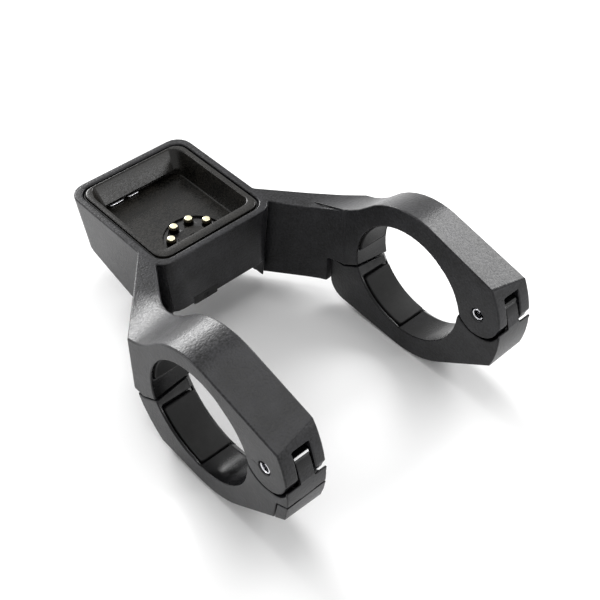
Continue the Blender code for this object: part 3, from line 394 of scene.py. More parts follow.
def tongue_edge(middles):
    """Edge widths of a lower half: twice as wide along the top of the tongue, between the ears."""
    close = np.hypot(*(middles[:, 1:] - (PIN_Y, PIN_Z)).T) < TOP_EDGE_R
    return np.where(close & (middles[:, 2] > PIN_Z + TOP_EDGE_RISE), TOP_EDGE_WIDTH, 1.0)


for side, _ in SIDES:
    half = eased_copy(side + "_lower_clamp", LOWER_EASE, 3, close_pocket, tongue_edge)
    polish(half, LOWER_SEAT)
    fit(half, side + "_clamp", "housing_plastic", [side + "_lower_clamp"], nylon, polished_nylon)
fit(eased_copy("left_corner_cap", CAP_EASE), "left_clamp", "housing_plastic", ["left_corner_cap"], nylon)

# Hinge bushes and pins. A steel bush is pressed into each tongue, and a spring pin, rolled from hard strip
# with a slit along it, is driven through the ears and the bush. The pin's ends show as bright open rings.

PIN_R, PIN_CORE_R, PIN_EASE = 1.5, 1.06, 0.28
PIN_X = (26.4, 36.5)
PIN_GAP, PIN_STEPS = 32.0, 40
PIN_TURN = {"left": 62.0, "right": 150.0}
BUSH_R, BUSH_EASE = (1.72, 2.98), 0.2
# Largest share of a side that the rounding of one corner takes up
EASE_SHARE = 0.45
EASE_STEPS = 4
MARK_STRENGTH = 0.5
METAL = {"Metallic": 1.0}


def eased(corners, ease, steps=EASE_STEPS, closed=False):
    """A profile with its corners rounded: each corner gives way to a parabola that leaves one side at the
    distance ease before it and joins the next side as far after it. An open profile keeps its ends."""
    corner = np.asarray(corners, float)
    before, after = np.roll(corner, 1, 0) - corner, np.roll(corner, -1, 0) - corner
    start = corner + before * np.minimum(EASE_SHARE, ease / np.linalg.norm(before, axis=1))[:, None]
    end = corner + after * np.minimum(EASE_SHARE, ease / np.linalg.norm(after, axis=1))[:, None]
    t = np.linspace(0.0, 1.0, steps)[None, :, None]
    curve = (1 - t) ** 2 * start[:, None] + 2 * t * (1 - t) * corner[:, None] + t ** 2 * end[:, None]
    if not closed:
        curve[0], curve[-1] = corner[0], corner[-1]
    return curve.reshape(-1, 2)


def oblong(near, far, start, end, ease):
    """A closed oblong section with rounded corners, between two distances off an axis and two places along
    it."""
    return eased([(near, start), (far, start), (far, end), (near, end)], ease, closed=True)


def turned(name, profile, foot, axis, columns=48, press=None, ring=False):
    """A turned form: the profile's distances off and along the axis through foot, carried once round it.
    press, where given, changes the distance off the axis by the place along it and the angle, for keys and
    threads. Each point keeps the sum of its two distances as lathe, for marks that run round the axis."""
    foot, axis = np.asarray(foot, float), np.asarray(axis, float) / np.linalg.norm(axis)
    first = np.cross(axis, (0.0, 1.0, 0.0) if abs(axis[0]) > 0.9 else (1.0, 0.0, 0.0))
    first /= np.linalg.norm(first)
    angle = np.linspace(0.0, 2 * np.pi, columns, endpoint=False)[None, :]
    off, along = profile[:, :1] + 0 * angle, profile[:, 1:] + 0 * angle
    off = press(off, along, angle) if press else off
    round_it = np.cos(angle)[..., None] * first + np.sin(angle)[..., None] * np.cross(axis, first)
    piece = skin(name, (foot + along[..., None] * axis + off[..., None] * round_it) * MM, True, ring)
    points = rows_of(piece.data.vertices, "co") - foot * MM
    reach = points @ axis
    lathe = piece.data.attributes.new("lathe", "FLOAT", "POINT")
    lathe.data.foreach_set("value", reach + np.linalg.norm(points - reach[:, None] * axis, axis=1))
    return piece


def lathe_marks(material, pitch, depth):
    """Cutter marks on a turned piece: a sine of its lathe distance, pitch mm from ring to ring, as bumps."""
    tree = material.node_tree
    lathe = add(tree, "Attribute", {"attribute_name": "lathe"})
    rings = add(tree, "Math", {"operation": "MULTIPLY"}, {1: 2 * math.pi / (pitch * MM)},
                {0: lathe.outputs["Fac"]})
    wave = add(tree, "Math", {"operation": "SINE"}, links={0: rings.outputs[0]})
    marks = add(tree, "Bump", values={"Strength": MARK_STRENGTH, "Distance": depth * MM},
                links={"Height": wave.outputs[0]})
    tree.links.new(marks.outputs[0], tree.nodes["Bump"].inputs["Normal"])


# Hard bright strip steel, tumbled: pale grey, mirror-like, with a slight unevenness of the tumbling
pin_steel = mottled("tumbled_spring_steel", "#c6c6ca", "#dcdce0", 1.5, 0.4, (0.14, 0.26), 0.004, METAL)
# Turned free-cutting steel: the same grey with fine rings from the tool, drawn at 0.12 mm
bush_steel = mottled("turned_bright_steel", "#b9b9bd", "#cfcfd3", 1.5, 0.4, (0.18, 0.30), 0.004, METAL)
lathe_marks(bush_steel, 0.12, 0.004)

pin_wall = oblong(PIN_CORE_R, PIN_R, *PIN_X, PIN_EASE)
sleeve = oblong(*BUSH_R, *TONGUE_X, BUSH_EASE)
for side, sign in SIDES:
    # The wall's section swept round the pin's axis from one lip of the slit to the other, each lip closed
    # by a row of points on the section's middle
    sweep = np.radians(PIN_TURN[side] + np.linspace(PIN_GAP, 360.0 - PIN_GAP, PIN_STEPS))
    sweep = np.concatenate([sweep[:1], sweep, sweep[-1:]])
    section = np.repeat(pin_wall[None], len(sweep), 0)
    section[[0, -1]] = pin_wall.mean(0)
    section[[0, -1], :, 1] = pin_wall[:, 1]
    off, x = section[..., 0], sign * section[..., 1]
    around = np.stack([x, PIN_Y + off * np.cos(sweep)[:, None], PIN_Z + off * np.sin(sweep)[:, None]], -1)
    fit(skin(side + "_spring_pin", around * MM, round_columns=True), "frame", "pin_steel",
        [side + "_hinge_pin"], pin_steel)
    fit(turned(side + "_tongue_bush", sleeve * (1.0, sign), (0.0, PIN_Y, PIN_Z), (1.0, 0.0, 0.0), ring=True),
        side + "_clamp", "pin_steel", [side + "_hinge_bush"], bush_steel)

# Tongue faces. The front of each tongue is flat and runs down into the front of its clamp half, of one
# moulding with it. Its top edge is a narrow chamfer that the tool's polish leaves shining.

FACE_CHAMFER = ((-26.70, 10.26), (-26.33, 10.71))
FACE_FOOT, FACE_BACK, FACE_TOP_Z = (-28.52, -0.4), -25.0, 10.72
FACE_EASE = 0.06
# The last stretch at both ends, over which the section is drawn in, and the share that it is drawn in to
FACE_END, FACE_END_SHARE = 0.08, 0.985
EDGE_FORWARD, EDGE_UP = 0.6, 0.45

# The polished edge: the same nylon as a mirror, so that it shows a lamp as one clear bar
edge_nylon = mottled("edge_polished_nylon", "#0a0a0b", "#141416", 9.0, 2.5, (0.10, 0.16), 0.002,
                     {"IOR": 1.53})

face = eased([FACE_FOOT, *FACE_CHAMFER, (FACE_BACK, FACE_TOP_Z), (FACE_BACK, FACE_FOOT[1])], FACE_EASE,
             closed=True)
heart = face.mean(0)
first, last = TONGUE_X
run = np.array((first, first, first + FACE_END, last - FACE_END, last, last))
draw = np.array((0.0, FACE_END_SHARE, 1.0, 1.0, FACE_END_SHARE, 0.0))
# The section carried straight across the tongue and drawn in to its middle at both ends
sections = heart + draw[:, None, None] * (face - heart)
for side, sign in SIDES:
    points = np.concatenate([(sign * run)[:, None, None] + 0 * sections[..., :1], sections], -1)
    front = skin(side + "_tongue_face", points * MM, True)
    _, facing_y, facing_z = rows_of(front.data.polygons, "normal").T
    edge = (facing_y < -EDGE_FORWARD) & (facing_z > EDGE_UP)
    front.data.polygons.foreach_set("material_index", edge.astype(np.int32))
    keep_flat(front)
    fit(front, side + "_clamp", "housing_plastic", [side + "_lower_clamp"], polished_nylon, edge_nylon)

# Clamp screws and inserts. A black socket screw comes up through each lower half into a knurled brass insert
# that is pressed into the arm. The head is knurled and keyed, the shank has a rolled thread.

SCREW_FOOT = (31.45, 19.4, -7.4)
SCREW_AXIS = (0.0, 0.3153, 0.9490)
SCREW_COLUMNS = 120
HEAD_S, SEAT_S, TIP_S = -7.4, -4.4, 5.5
HEAD_R, HEAD_EASE = 2.75, 0.18
KEY_FLAT, KEY_DEPTH = 1.12, 1.6
KNURLS, KNURL_DEPTH, KNURL_ENDS = 30, 0.07, (0.45, 0.3)
SHANK_R, SHANK_END, POINT_TAPER = 1.25, 0.5, 0.45
PITCH, THREAD, THREAD_START = 0.45, 0.2, 0.6
INSERT_S, INSERT_R = (0.8, 7.0), (1.77, 2.3)
BAND_OFF, BAND_HALF, GROOVE = 1.6, 1.1, 0.22
RIDGES, RIDGE_SLANT, RIDGE_DEPTH = 20, 3, 0.05
HAIR = 0.01


def rod(radius, start, end, count):
    """A straight stretch of a profile: count points at one radius."""
    return np.column_stack([np.full(count, radius), np.linspace(start, end, count)])


def hexagon(angle):
    """Distance to a hexagon's side over its shortest distance, by angle."""
    return 1.0 / np.cos((angle + np.pi / 6) % (np.pi / 3) - np.pi / 6)


def tooth(along, angle, pitch):
    """A thread's straight flanks: falls from 1 to 0 and rises again once for each pitch, shifted once round
    by the angle."""
    return np.abs(2.0 * ((along / pitch - angle / (2 * np.pi)) % 1.0) - 1.0)


def press_screw(off, along, angle):
    """The key is a hexagon up to its depth, the head's side has grooves by the cosine of the angle, and the
    shank carries a thread."""
    key = (off < KEY_FLAT + HAIR) & (along < HEAD_S + KEY_DEPTH + HAIR)
    off = np.where(key, off * hexagon(angle), off)
    rim = (off > HEAD_R - HAIR) & (along > HEAD_S + KNURL_ENDS[0]) & (along < SEAT_S - KNURL_ENDS[1])
    off = np.where(rim, off - KNURL_DEPTH * (0.5 + 0.5 * np.cos(KNURLS * angle)), off)
    shank = (off > SHANK_R - HAIR) & (along > SEAT_S + THREAD_START) & (along < TIP_S - SHANK_END)
    return np.where(shank, off - THREAD * tooth(along, angle, PITCH), off)


def press_insert(off, along, angle):
    """Two bands of ridges round the insert, the product of two cosines that slant to either side, with a
    plain groove between and beside them."""
    outside = off > INSERT_R[1] - HAIR
    band = np.abs(np.abs(along - sum(INSERT_S) / 2) - BAND_OFF) < BAND_HALF
    slant = RIDGE_SLANT * along
    ridges = np.cos(RIDGES * angle + slant) * np.cos(RIDGES * angle - slant)
    return np.where(outside, off - np.where(band, RIDGE_DEPTH - RIDGE_DEPTH * ridges, GROOVE), off)


# Black-oxide steel: near black with a brown-grey metal sheen
oxide_steel = mottled("black_oxide_steel", "#2b2b2d", "#3a3a3c", 0.8, 0.15, (0.30, 0.48), 0.006, METAL)
# Turned and knurled brass, a little dulled by handling
brass = mottled("turned_brass", "#b08d4c", "#c9a862", 1.2, 0.3, (0.26, 0.40), 0.004, METAL)
lathe_marks(brass, 0.15, 0.004)

key_floor = HEAD_S + KEY_DEPTH
head = eased([(0.0, key_floor), (KEY_FLAT, key_floor), (KEY_FLAT, HEAD_S), (HEAD_R, HEAD_S), (HEAD_R, SEAT_S),
              (SHANK_R, SEAT_S)], HEAD_EASE)
knurl = rod(HEAD_R, HEAD_S + KNURL_ENDS[0] + HAIR, SEAT_S - KNURL_ENDS[1] - HAIR, 7)
# The knurl's points come after the head's fourth corner
top = 4 * EASE_STEPS
thread = rod(SHANK_R, SEAT_S + SHANK_END, TIP_S - SHANK_END, 140)
point = [(SHANK_R - POINT_TAPER, TIP_S), (0.0, TIP_S)]
bolt = np.concatenate([head[:top], knurl, head[top:], thread, point])
nut_bore = [(INSERT_R[0], INSERT_S[1]), (INSERT_R[0], INSERT_S[0])]
nut = np.concatenate([rod(INSERT_R[1], *INSERT_S, 40), nut_bore])
for side, sign in SIDES:
    foot = np.multiply(SCREW_FOOT, (sign, 1.0, 1.0))
    fit(turned(side + "_socket_screw", bolt, foot, SCREW_AXIS, SCREW_COLUMNS, press_screw), side + "_clamp",
        "screw_steel", [side + "_clamp_screw"], oxide_steel)
    fit(turned(side + "_knurled_insert", nut, foot, SCREW_AXIS, SCREW_COLUMNS, press_insert, True), "frame",
        "barrel_brass", [side + "_threaded_insert"], brass)

# Rubber pads. A curved strip of black rubber lies in a recess in each half of each bore and grips the bar.
# They are moulded with rounded edges and stand a little proud of the bore.

PAD_X = (27.3, 35.6)
PAD_R = (16.35, 17.65)
PAD_EASE, PAD_END, PAD_END_DRAW, PAD_STEPS = 0.35, 0.4, 0.25, 40
UPPER_ARC, LOWER_ARC = (4.0, 125.0), (-88.0, -36.0)

# Black nitrile rubber: deep black and matt, with a faint grey bloom in patches
rubber = mottled("moulded_nitrile_rubber", "#131313", "#1c1c1c", 2.0, 0.25, (0.50, 0.66), 0.02,
                 {"IOR": 1.52, "Specular IOR Level": 0.25})

strip = eased([(PAD_X[0], PAD_R[1]), (PAD_X[0], PAD_R[0]), (PAD_X[1], PAD_R[0]), (PAD_X[1], PAD_R[1])],
              PAD_EASE, 6, True)
core = strip.mean(0)


def pad(name, seat, sign, start, end):
    """A strip's section carried along an arc about the seat's axis, in degrees. Over its last 0.4 mm each end
    draws in towards the section's middle by a quarter circle, which rounds it off."""
    quarter = np.linspace(0.0, 1.0, 7) * np.pi / 2
    opening = 1.0 - PAD_END_DRAW + PAD_END_DRAW * np.sin(quarter)
    closing = 1.0 - PAD_END_DRAW + PAD_END_DRAW * np.cos(quarter)
    draw = np.concatenate([[0.0], opening, np.ones(PAD_STEPS), closing, [0.0]])
    lap = math.degrees(PAD_END / SEAT_R)
    middle = np.linspace(start + lap, end - lap, PAD_STEPS + 2)[1:-1]
    run = np.concatenate([[start], start + lap * (1 - np.cos(quarter)), middle,
                          end - lap + lap * np.sin(quarter), [end]])
    section = core + draw[:, None, None] * (strip - core)
    angle, off = np.radians(run)[:, None], section[..., 1]
    y, z = seat[0] + off * np.cos(angle), seat[1] + off * np.sin(angle)
    return skin(name, np.stack([sign * section[..., 0], y, z], -1) * MM, round_columns=True)


for side, sign in SIDES:
    fit(pad(side + "_upper_grip", UPPER_SEAT, sign, *UPPER_ARC), "frame", "pad_rubber", [side + "_upper_pad"],
        rubber)
    fit(pad(side + "_lower_grip", LOWER_SEAT, sign, *LOWER_ARC), side + "_clamp", "pad_rubber",
        [side + "_lower_pad"], rubber)

# Bottom cover and its screws. A flat plate of the same nylon is let into the underside and held by four
# black screws with six-sided keys.

COVER_EASE = 0.2
COVER_SCREWS = [(x, y) for x in (-10.55, 10.55) for y in (43.2, 66.8)]
COVER_Z, COVER_HEAD_Z, COVER_TIP_Z = -10.4, -9.65, -3.0
COVER_HEAD_R, COVER_HEAD_EASE = 1.88, 0.14
COVER_KEY_FLAT, COVER_KEY_DEPTH = 0.62, 0.5
COVER_SHANK_R, COVER_SHANK_END, COVER_POINT_R = 0.9, 0.2, 0.5
COVER_PITCH, COVER_THREAD, COVER_THREAD_END = 0.6, 0.22, 0.3
UPRIGHT = (0.0, 0.0, 1.0)


def press_cover_screw(off, along, angle):
    """A six-sided key in the head and a coarse thread on the shank, as on the clamp screws."""
    key = (off < COVER_KEY_FLAT + HAIR) & (along < COVER_HEAD_Z)
    off = np.where(key, off * hexagon(angle), off)
    threaded = (along > COVER_HEAD_Z + COVER_THREAD_END) & (along < COVER_TIP_Z - COVER_THREAD_END)
    shank = threaded & (np.abs(off - COVER_SHANK_R) < HAIR)
    return np.where(shank, off - COVER_THREAD * tooth(along, angle, COVER_PITCH), off)


fit(eased_copy("bottom_cover", COVER_EASE), "frame", "cover_plastic", ["bottom_cover"], nylon)
key_floor = COVER_Z + COVER_KEY_DEPTH
fixing = np.concatenate([
    eased([(0.0, key_floor), (COVER_KEY_FLAT, key_floor), (COVER_KEY_FLAT, COVER_Z), (COVER_HEAD_R, COVER_Z),
           (COVER_HEAD_R, COVER_HEAD_Z), (COVER_SHANK_R, COVER_HEAD_Z)], COVER_HEAD_EASE),
    rod(COVER_SHANK_R, COVER_HEAD_Z + COVER_SHANK_END, COVER_TIP_Z - COVER_SHANK_END, 72),
    [(COVER_POINT_R, COVER_TIP_Z), (0.0, COVER_TIP_Z)]])
for k, (x, y) in enumerate(COVER_SCREWS):
    fit(turned("cover_fixing_%d" % (k + 1), fixing, (x, y, 0.0), UPRIGHT, 48, press_cover_screw), "frame",
        "screw_steel", ["cover_screw_%d" % (k + 1)], oxide_steel)

# Cable grommet. A small block of black rubber fills the notch at the foot of the front wall, flush with it,
# and its lip hangs just under the wall. A thin web closes the round way through it.

GROMMET = (-5.15, -9.7)
GROMMET_HALF = (3.62, 1.38)
GROMMET_Y, WEB_Y = (37.07, 39.7), 37.3
SQUARED = 0.125
# The round way through: its radius, and the share of the way out to the outline at which its edge lies
WAY_R, WAY_SHARE = 0.8, 0.28


def on_circle(angle):
    """Points of the circle of radius 1, by angle: cosine and sine."""
    return np.stack([np.cos(angle), np.sin(angle)], -1)


# Each row is a share of the way from the middle to the outline, and a place along the way through
rows = np.array([(0.0, WEB_Y), (0.2, WEB_Y), (0.24, 37.14), (WAY_SHARE, GROMMET_Y[0]), (0.95, GROMMET_Y[0]),
                 (0.985, 37.1), (1.0, 37.25), (1.0, GROMMET_Y[1]), (0.0, GROMMET_Y[1])])
ring = on_circle(np.linspace(0.0, 2 * np.pi, 96, endpoint=False))
# The way is a circle, and the outline a squared-off one, with its cosine and sine at the power of an eighth
outline = np.sign(ring) * np.abs(ring) ** SQUARED * GROMMET_HALF
out = rows[:, :1, None]
share = np.clip((out - WAY_SHARE) / (1.0 - WAY_SHARE), 0.0, 1.0)
across = (1 - share) * ring * np.minimum(out / WAY_SHARE, 1.0) * WAY_R + share * outline
block = np.concatenate([GROMMET[0] + across[..., :1], rows[:, 1:, None] + 0 * across[..., :1],
                        GROMMET[1] + across[..., 1:]], -1)
fit(skin("lead_grommet", block * MM, True), "frame", "grommet_rubber", ["cable_grommet"], rubber)

# Tray. A smooth polycarbonate tub dropped into the housing, a little warmer and glossier than the nylon. Its
# back wall slopes from the rim down to an overhang, and a window in its floor lets the contacts through.

CONTACT_Y, CONTACT_RING_R = 47.1, 6.03
CARRIER_ENDS = (-12.0, 192.0)
WINDOW_HALF = 1.98
LOCK_HOLE_R = 1.4
TRAY_FLOOR_Z, TRAY_FOOT_Z = -0.3, -2.0
# The floor plate's half width, front, back and corner radius, how far its back bulges, and how far it lies
# under the floor's height, so that it shares no plane with the foot of the wall
FLOOR_HALF, FLOOR_FRONT, FLOOR_BACK, FLOOR_CORNER_R = 12.55, 42.47, 69.3, 2.1
FLOOR_BULGE, FLOOR_DROP = 0.6, 0.004
TURN_STEPS = 14
# The tub's wall from the outer foot over the rim and down to the floor. Each row is a rounded rectangle: half
# width, front, back, corner radius and height; the last two are the back wall's own place and height.
TUB = np.array([
    (15.00, 40.00, 72.60, 3.00, -2.00, 72.60, -2.00),
    (15.20, 39.80, 72.85, 3.10, 3.00, 72.85, 3.00),
    (15.42, 39.61, 73.01, 3.21, 6.05, 73.01, 6.05),
    (15.44, 39.59, 73.03, 3.23, 6.22, 73.03, 6.22),
    (15.38, 39.65, 72.97, 3.17, 6.38, 72.97, 6.38),
    (15.27, 39.76, 72.86, 3.06, 6.46, 72.86, 6.46),
    (15.12, 39.91, 72.71, 2.94, 6.48, 72.74, 6.48),
    (14.35, 41.75, 71.00, 2.82, 6.48, 72.66, 6.48),
    (14.22, 41.86, 70.87, 2.72, 6.45, 72.56, 6.44),
    (14.12, 41.94, 70.77, 2.66, 6.38, 72.46, 6.35),
    (14.06, 42.00, 70.71, 2.62, 6.26, 72.36, 6.20),
    (14.02, 42.03, 70.66, 2.60, 6.10, 72.22, 5.98),
    (13.60, 42.12, 70.30, 2.50, 4.20, 71.10, 4.20),
    (13.10, 42.24, 69.85, 2.40, 2.00, 69.85, 2.02),
    (12.95, 42.28, 69.68, 2.36, 1.30, 69.66, 1.70),
    (12.90, 42.30, 69.62, 2.34, 1.05, 69.70, 1.58),
    (12.84, 42.32, 69.56, 2.32, 0.80, 69.95, 1.54),
    (12.76, 42.34, 69.50, 2.30, 0.45, 71.10, 1.52),
    (12.70, 42.36, 69.45, 2.26, 0.25, 71.20, 1.35),
    (12.66, 42.38, 69.41, 2.22, 0.05, 71.20, -0.10),
    (12.60, 42.43, 69.35, 2.16, -0.16, 71.10, -0.28),
    (12.50, 42.52, 69.25, 2.08, -0.26, 70.60, -0.30),
    (12.30, 42.70, 69.06, 1.96, -0.30, 69.60, -0.30),
    (12.20, 42.80, 68.96, 1.90, -2.00, 69.40, -2.00)])


def quarter_turns(steps):
    """Angles of four quarter turns, one after the other, each with its own first and last point."""
    return np.radians(np.concatenate([np.linspace(0.0, 90.0, steps) + 90.0 * k for k in range(4)]))


def rounded(wide, front, back, radius):
    """Points round a rectangle with round corners: quarter turns about the four corners' centres, each joined
    to the next by a straight side. Also gives each point's share of the back side, by the square of the
    sine."""
    angle = quarter_turns(TURN_STEPS)
    across = np.repeat([1.0, -1.0, -1.0, 1.0], TURN_STEPS)
    far = np.repeat([True, True, False, False], TURN_STEPS)
    share = np.where(far, np.sin(angle) ** 2, 0.0)
    x = across * (wide - radius) + radius * np.cos(angle)
    y = np.where(far, back(share) - radius, front + radius) + radius * np.sin(angle)
    return x, y, share


# Black polycarbonate from a lightly polished tool: a warm near-black with a soft, even shine
polycarbonate = mottled("smooth_polycarbonate", "#0c0c0b", "#211f1c", 5.0, 0.5, (0.24, 0.32), 0.008,
                        {"IOR": 1.58, "Specular IOR Level": 0.24})

wide, front, back, radius, height, own_back, own_height = (TUB[:, k:k + 1] for k in range(7))
x, y, share = rounded(wide, front, lambda share: back + share * (own_back - back), radius)
wall = np.stack([x, y, height + share * (own_height - height)], -1)
fit(skin("dock_tub", wall * MM, True, True), "frame", "tray_plastic", ["dock_tray"], polycarbonate)

# The floor is a plate under the wall's foot, with the window and the lock hole left open in it. The window is
# the contacts' arc widened to both sides, with half circles round its two ends.
arc = np.radians(np.linspace(*CARRIER_ENDS, 60))
half_turn = np.radians(np.linspace(0.0, 180.0, 16)[1:-1])
outer, inner = CONTACT_RING_R + WINDOW_HALF, CONTACT_RING_R - WINDOW_HALF
window = np.concatenate([
    outer * on_circle(arc),
    CONTACT_RING_R * on_circle(arc[-1]) + WINDOW_HALF * on_circle(arc[-1] + half_turn),
    inner * on_circle(arc[::-1]),
    CONTACT_RING_R * on_circle(arc[0]) + WINDOW_HALF * on_circle(arc[0] + np.pi + half_turn)])
lock = LOCK_HOLE_R * on_circle(np.radians(np.linspace(0.0, 360.0, 40, endpoint=False)))
x, y, _ = rounded(FLOOR_HALF, FLOOR_FRONT, lambda share: FLOOR_BACK + FLOOR_BULGE * share, FLOOR_CORNER_R)
plate = bmesh.new()
for loop in (np.stack([x, y], -1), window + (0.0, CONTACT_Y), lock + (0.0, CONTACT_Y)):
    corners = [plate.verts.new((*(point * MM), (TRAY_FLOOR_Z - FLOOR_DROP) * MM)) for point in loop]
    for one, other in zip(corners, corners[1:] + corners[:1]):
        plate.edges.new((one, other))
bmesh.ops.triangle_fill(plate, use_beauty=True, edges=plate.edges, normal=UPRIGHT)
mesh = bpy.data.meshes.new("dock_floor")
plate.to_mesh(mesh)
plate.free()
face_up(mesh)
dock_floor = object_of("dock_floor", mesh)
thick = dock_floor.modifiers.new("floor_thickness", "SOLIDIFY")
thick.thickness = (TRAY_FLOOR_Z - TRAY_FOOT_Z) * MM
thick.offset = -1.0
fit(dock_floor, "frame", "tray_plastic", ["dock_tray"], polycarbonate)

# Seal. A lip of black rubber stands in the groove between the rim and the tray and keeps water out. It is
# moulded as one ring and pushed into the groove.

SEAL_CORNER_R, SEAL_WIDE = 3.565, 0.31
SEAL_EASE, SEAL_STEPS = 0.14, 10
low, high = (np.array(corner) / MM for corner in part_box("tray_seal"))
half, middle = (high - low) / 2, (high + low) / 2
# Four quarter turns about the corners' centres; the straight sides run from one to the next
corners = np.repeat([(1.0, 1.0), (-1.0, 1.0), (-1.0, -1.0), (1.0, -1.0)], SEAL_STEPS, 0)
centre = middle[:2] + corners * (half[:2] - SEAL_CORNER_R)
lip = oblong(0.0, SEAL_WIDE, low[2], high[2], SEAL_EASE)
reach = (SEAL_CORNER_R - lip[:, 0])[:, None, None] * on_circle(quarter_turns(SEAL_STEPS))
points = np.concatenate([centre + reach, lip[:, 1][:, None, None] + 0 * reach[..., :1]], -1)
fit(skin("groove_seal", points * MM, True, True), "frame", "seal_rubber", ["tray_seal"], rubber)

# Slot wires. Two short lengths of bright spring wire lie in the slot along the foot of the tray's back wall,
# with their ends turned back into the wall.

WIRE_R = 0.3
WIRE_Y, WIRE_Z = 70.3, 0.05
WIRES = (("outer_slot_wire", -9.2, -4.9), ("inner_slot_wire", -3.5, -0.2))
WIRE_BACK, WIRE_LEAN = 0.75, 0.2
WIRE_EASE, WIRE_STEPS = 0.4, 8


def tube(name, path, radius):
    """A round wire along a path of points in the plan: a circle across the path's direction, drawn to a point
    at both ends."""
    along = np.gradient(path, axis=0)
    along /= np.linalg.norm(along, axis=1, keepdims=True)
    across = np.column_stack([-along[:, 1], along[:, 0], np.zeros(len(path))])
    path = np.column_stack([path, np.full(len(path), WIRE_Z)])
    angle = np.linspace(0.0, 2 * np.pi, 16, endpoint=False)[None, :, None]
    ring = np.cos(angle) * across[:, None] + np.sin(angle) * np.array(UPRIGHT)
    points = path[:, None] + radius * ring
    first, last = path[:1, None] + 0 * points[:1], path[-1:, None] + 0 * points[:1]
    return skin(name, np.concatenate([first, points, last]) * MM, round_columns=True)


# Drawn spring wire: bright and hard, with faint lengthwise shading
wire_steel = mottled("drawn_spring_wire", "#b4b4b8", "#cdcdd1", 0.6, 0.12, (0.16, 0.30), 0.004, METAL)
for name, start, end in WIRES:
    bent = eased([(start, WIRE_Y + WIRE_BACK), (start + WIRE_LEAN, WIRE_Y), (end - WIRE_LEAN, WIRE_Y),
                  (end, WIRE_Y + WIRE_BACK)], WIRE_EASE, WIRE_STEPS)
    # An open profile repeats its two ends, and the path takes each of them once
    fit(tube(name, bent[WIRE_STEPS - 1:1 - WIRE_STEPS], WIRE_R), "frame", "spring_steel", [], wire_steel)

# Contact carrier. A horseshoe block of black plastic lies a little below the tray floor, in the window, and
# holds the four contacts.

CONTACTS = [(CONTACT_RING_R * math.cos(a), CONTACT_Y + CONTACT_RING_R * math.sin(a))
            for a in np.radians((22.5, 67.5, 112.5, 157.5))]
CARRIER_EASE = 0.1
# The solid's sizes and those that are shown: its side off the middle line, the radii of its bores and its
# heights
CARRIER_SIDE, CARRIER_SHOWN_SIDE = 2.55, 1.95
CARRIER_BORES = ((1.5, 1.34), (2.0, 1.84))
CARRIER_Z, CARRIER_SHOWN_Z = (-2.1, -0.3, 0.45), (-2.1, -1.0, -0.85)
BORE_NEAR = 0.04

# Glass-filled black plastic: flat black with a slight silky shine and short pale fibre flecks
carrier_plastic = mottled("glass_filled_black", "#101010", "#1f1e1e", 1.5, 0.3, (0.18, 0.28), 0.012,
                          {"IOR": 1.55, "Specular IOR Level": 0.5})


def from_horseshoe(points):
    """Nearest points in plan on the horseshoe's middle line, an arc of the contacts' circle between its two
    ends, and the ways from there to the points."""
    plan = points[:, :2] - (0.0, CONTACT_Y)
    angle = (np.degrees(np.arctan2(plan[:, 1], plan[:, 0])) + 90.0) % 360.0 - 90.0
    line = CONTACT_RING_R * on_circle(np.radians(np.clip(angle, *CARRIER_ENDS)))
    return line + (0.0, CONTACT_Y), plan - line


def sink_carrier(points):
    """Draws the block's sides in to the window, the mouths in to the plungers and the barrels' bores in to
    the barrels, and lowers the top of the block below the tray floor."""
    line, way = from_horseshoe(points)
    off = np.hypot(*way.T)
    outside = off > CARRIER_SIDE
    points[outside, :2] = (line + way * (CARRIER_SHOWN_SIDE / np.maximum(off, 1.0))[:, None])[outside]
    for contact in CONTACTS:
        way = points[:, :2] - contact
        off = np.hypot(*way.T)
        for bore, shown in CARRIER_BORES:
            wall = np.abs(off - bore) < BORE_NEAR
            points[wall, :2] = contact + way[wall] * (shown / bore)
    points[:, 2] = np.interp(points[:, 2], CARRIER_Z, CARRIER_SHOWN_Z)
    return points


carrier = eased_copy("contact_carrier", CARRIER_EASE, 2, sink_carrier)
fit(carrier, "frame", "carrier_plastic", ["contact_carrier"], carrier_plastic)

# Spring contacts. Each is a turned gold-plated plunger in a brass barrel, pushed up by a coil spring; the
# barrel's tail is soldered to the board below.

SPRING_Z, SPRING_R, SPRING_WIRE_R = (-4.78, -2.02), 0.95, 0.17
SPRING_TURNS, SPRING_STEPS, SPRING_COLUMNS = 5, 24, 10
CLOSED_RISE = 0.05
CONTACT_COLUMNS = 40

# Gold over nickel on turned brass: pale warm yellow, a little uneven
gold = mottled("gold_plate", "#ebe3bc", "#f5efd4", 0.5, 0.1, (0.20, 0.34), 0.003, METAL)
lathe_marks(gold, 0.1, 0.003)
# Painted shade: the barrel's collar is near black for the shadow and dark reflection round each tip, warm at
# random
collar_painted_shade = mottled("collar_painted_shade_finish", "#141311", "#241f18", 0.5, 0.1, (0.24, 0.36), 0.003, METAL)
lathe_marks(collar_painted_shade, 0.1, 0.003)


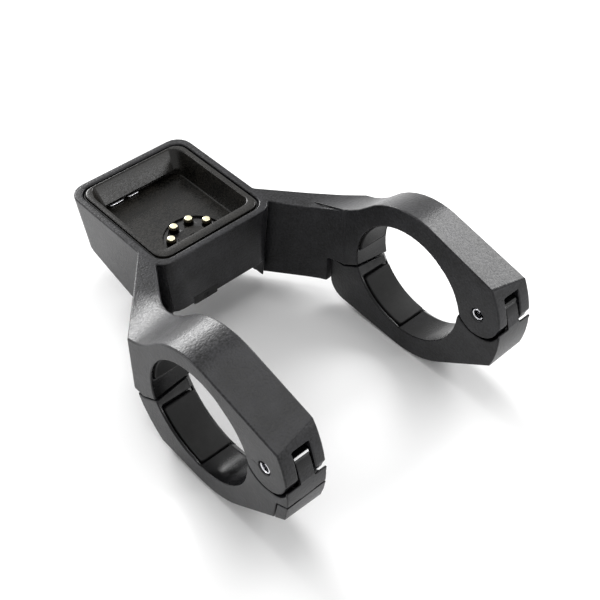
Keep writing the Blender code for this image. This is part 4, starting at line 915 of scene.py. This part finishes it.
def coil(name, x, y):
    """A wire circle carried up a helix, with its first and last half turns closed down flat, as a spring's
    are, and its ends drawn to points."""
    t = np.linspace(0.0, SPRING_TURNS, SPRING_TURNS * SPRING_STEPS + 1)
    low, high = SPRING_Z[0] + SPRING_WIRE_R, SPRING_Z[1] - SPRING_WIRE_R
    rise = np.interp(t, [0.0, 0.5, SPRING_TURNS - 0.5, SPRING_TURNS],
                     [low, low + CLOSED_RISE, high - CLOSED_RISE, high])
    t = np.concatenate([t[:1], t, t[-1:]])[:, None] * 2 * np.pi
    rise = np.concatenate([rise[:1], rise, rise[-1:]])[:, None]
    wire = np.full((len(t), 1), SPRING_WIRE_R)
    wire[[0, -1]] = 0.0
    angle = np.linspace(0.0, 2 * np.pi, SPRING_COLUMNS, endpoint=False)[None, :]
    off = SPRING_R + wire * np.cos(angle)
    points = np.stack([x + off * np.cos(t), y + off * np.sin(t), rise + wire * np.sin(angle)], -1)
    return skin(name, points * MM, round_columns=True)


tip = eased([(0.0, 1.0), (0.9, 0.98), (1.0, 0.86), (1.0, -1.24), (1.3, -1.24), (1.3, -1.9), (0.0, -1.9)],
            0.1, 5)
shell = eased([(0.0, -6.9), (0.45, -6.9), (0.45, -5.3), (1.8, -5.3), (1.8, -1.05), (1.3, -1.05), (1.3, 0.42),
               (1.06, 0.42), (1.06, -1.2), (1.5, -1.2), (1.5, -4.9), (0.0, -4.9)], 0.06)
for k, (x, y) in enumerate(CONTACTS):
    tag = "_%d" % (k + 1)
    foot = (x, y, 0.0)
    fit(turned("gold_plunger" + tag, tip, foot, UPRIGHT, CONTACT_COLUMNS), "contact" + tag, "contact_gold",
        ["contact_plunger" + tag], gold)
    # The barrel takes the near-black collar finish, the painted shade round each tip
    fit(turned("brass_barrel" + tag, shell, foot, UPRIGHT, CONTACT_COLUMNS), "frame", "barrel_brass",
        ["contact_barrel" + tag], collar_painted_shade)
    spring = fit(coil("plunger_spring" + tag, x, y), "frame", "spring_steel", ["contact_spring" + tag],
                 wire_steel)
    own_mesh(spring)

# Board and magnet. The barrels' tails stand in a small glass-cloth board, and a plated magnet sits under the
# tray floor behind it and helps to hold what is docked.

MAGNET_Y, MAGNET_R, MAGNET_Z = 60.9, 4.48, (-4.4, -2.32)
MAGNET_EASE = 0.3

# Glass-cloth board under green lacquer: glossy dark green, a little uneven over the weave
laminate = mottled("lacquered_glass_board", "#12301f", "#1c4029", 1.0, 0.4, (0.25, 0.38), 0.01, {"IOR": 1.55})
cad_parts["contact_board"].data.materials.clear()
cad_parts["contact_board"].data.materials.append(laminate)
# Nickel plate: a warm bright grey with the slight orange peel of barrel plating
nickel = mottled("barrel_nickel_plate", "#b5b0a4", "#cac5b8", 1.0, 0.3, (0.16, 0.26), 0.006, METAL)
disc = eased([(0.0, MAGNET_Z[0]), (MAGNET_R, MAGNET_Z[0]), (MAGNET_R, MAGNET_Z[1]), (0.0, MAGNET_Z[1])],
             MAGNET_EASE, 5)
fit(turned("plated_magnet", disc, (0.0, MAGNET_Y, 0.0), UPRIGHT, 64), "frame", "magnet_plating",
    ["retaining_magnet"], nickel)

low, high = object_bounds()
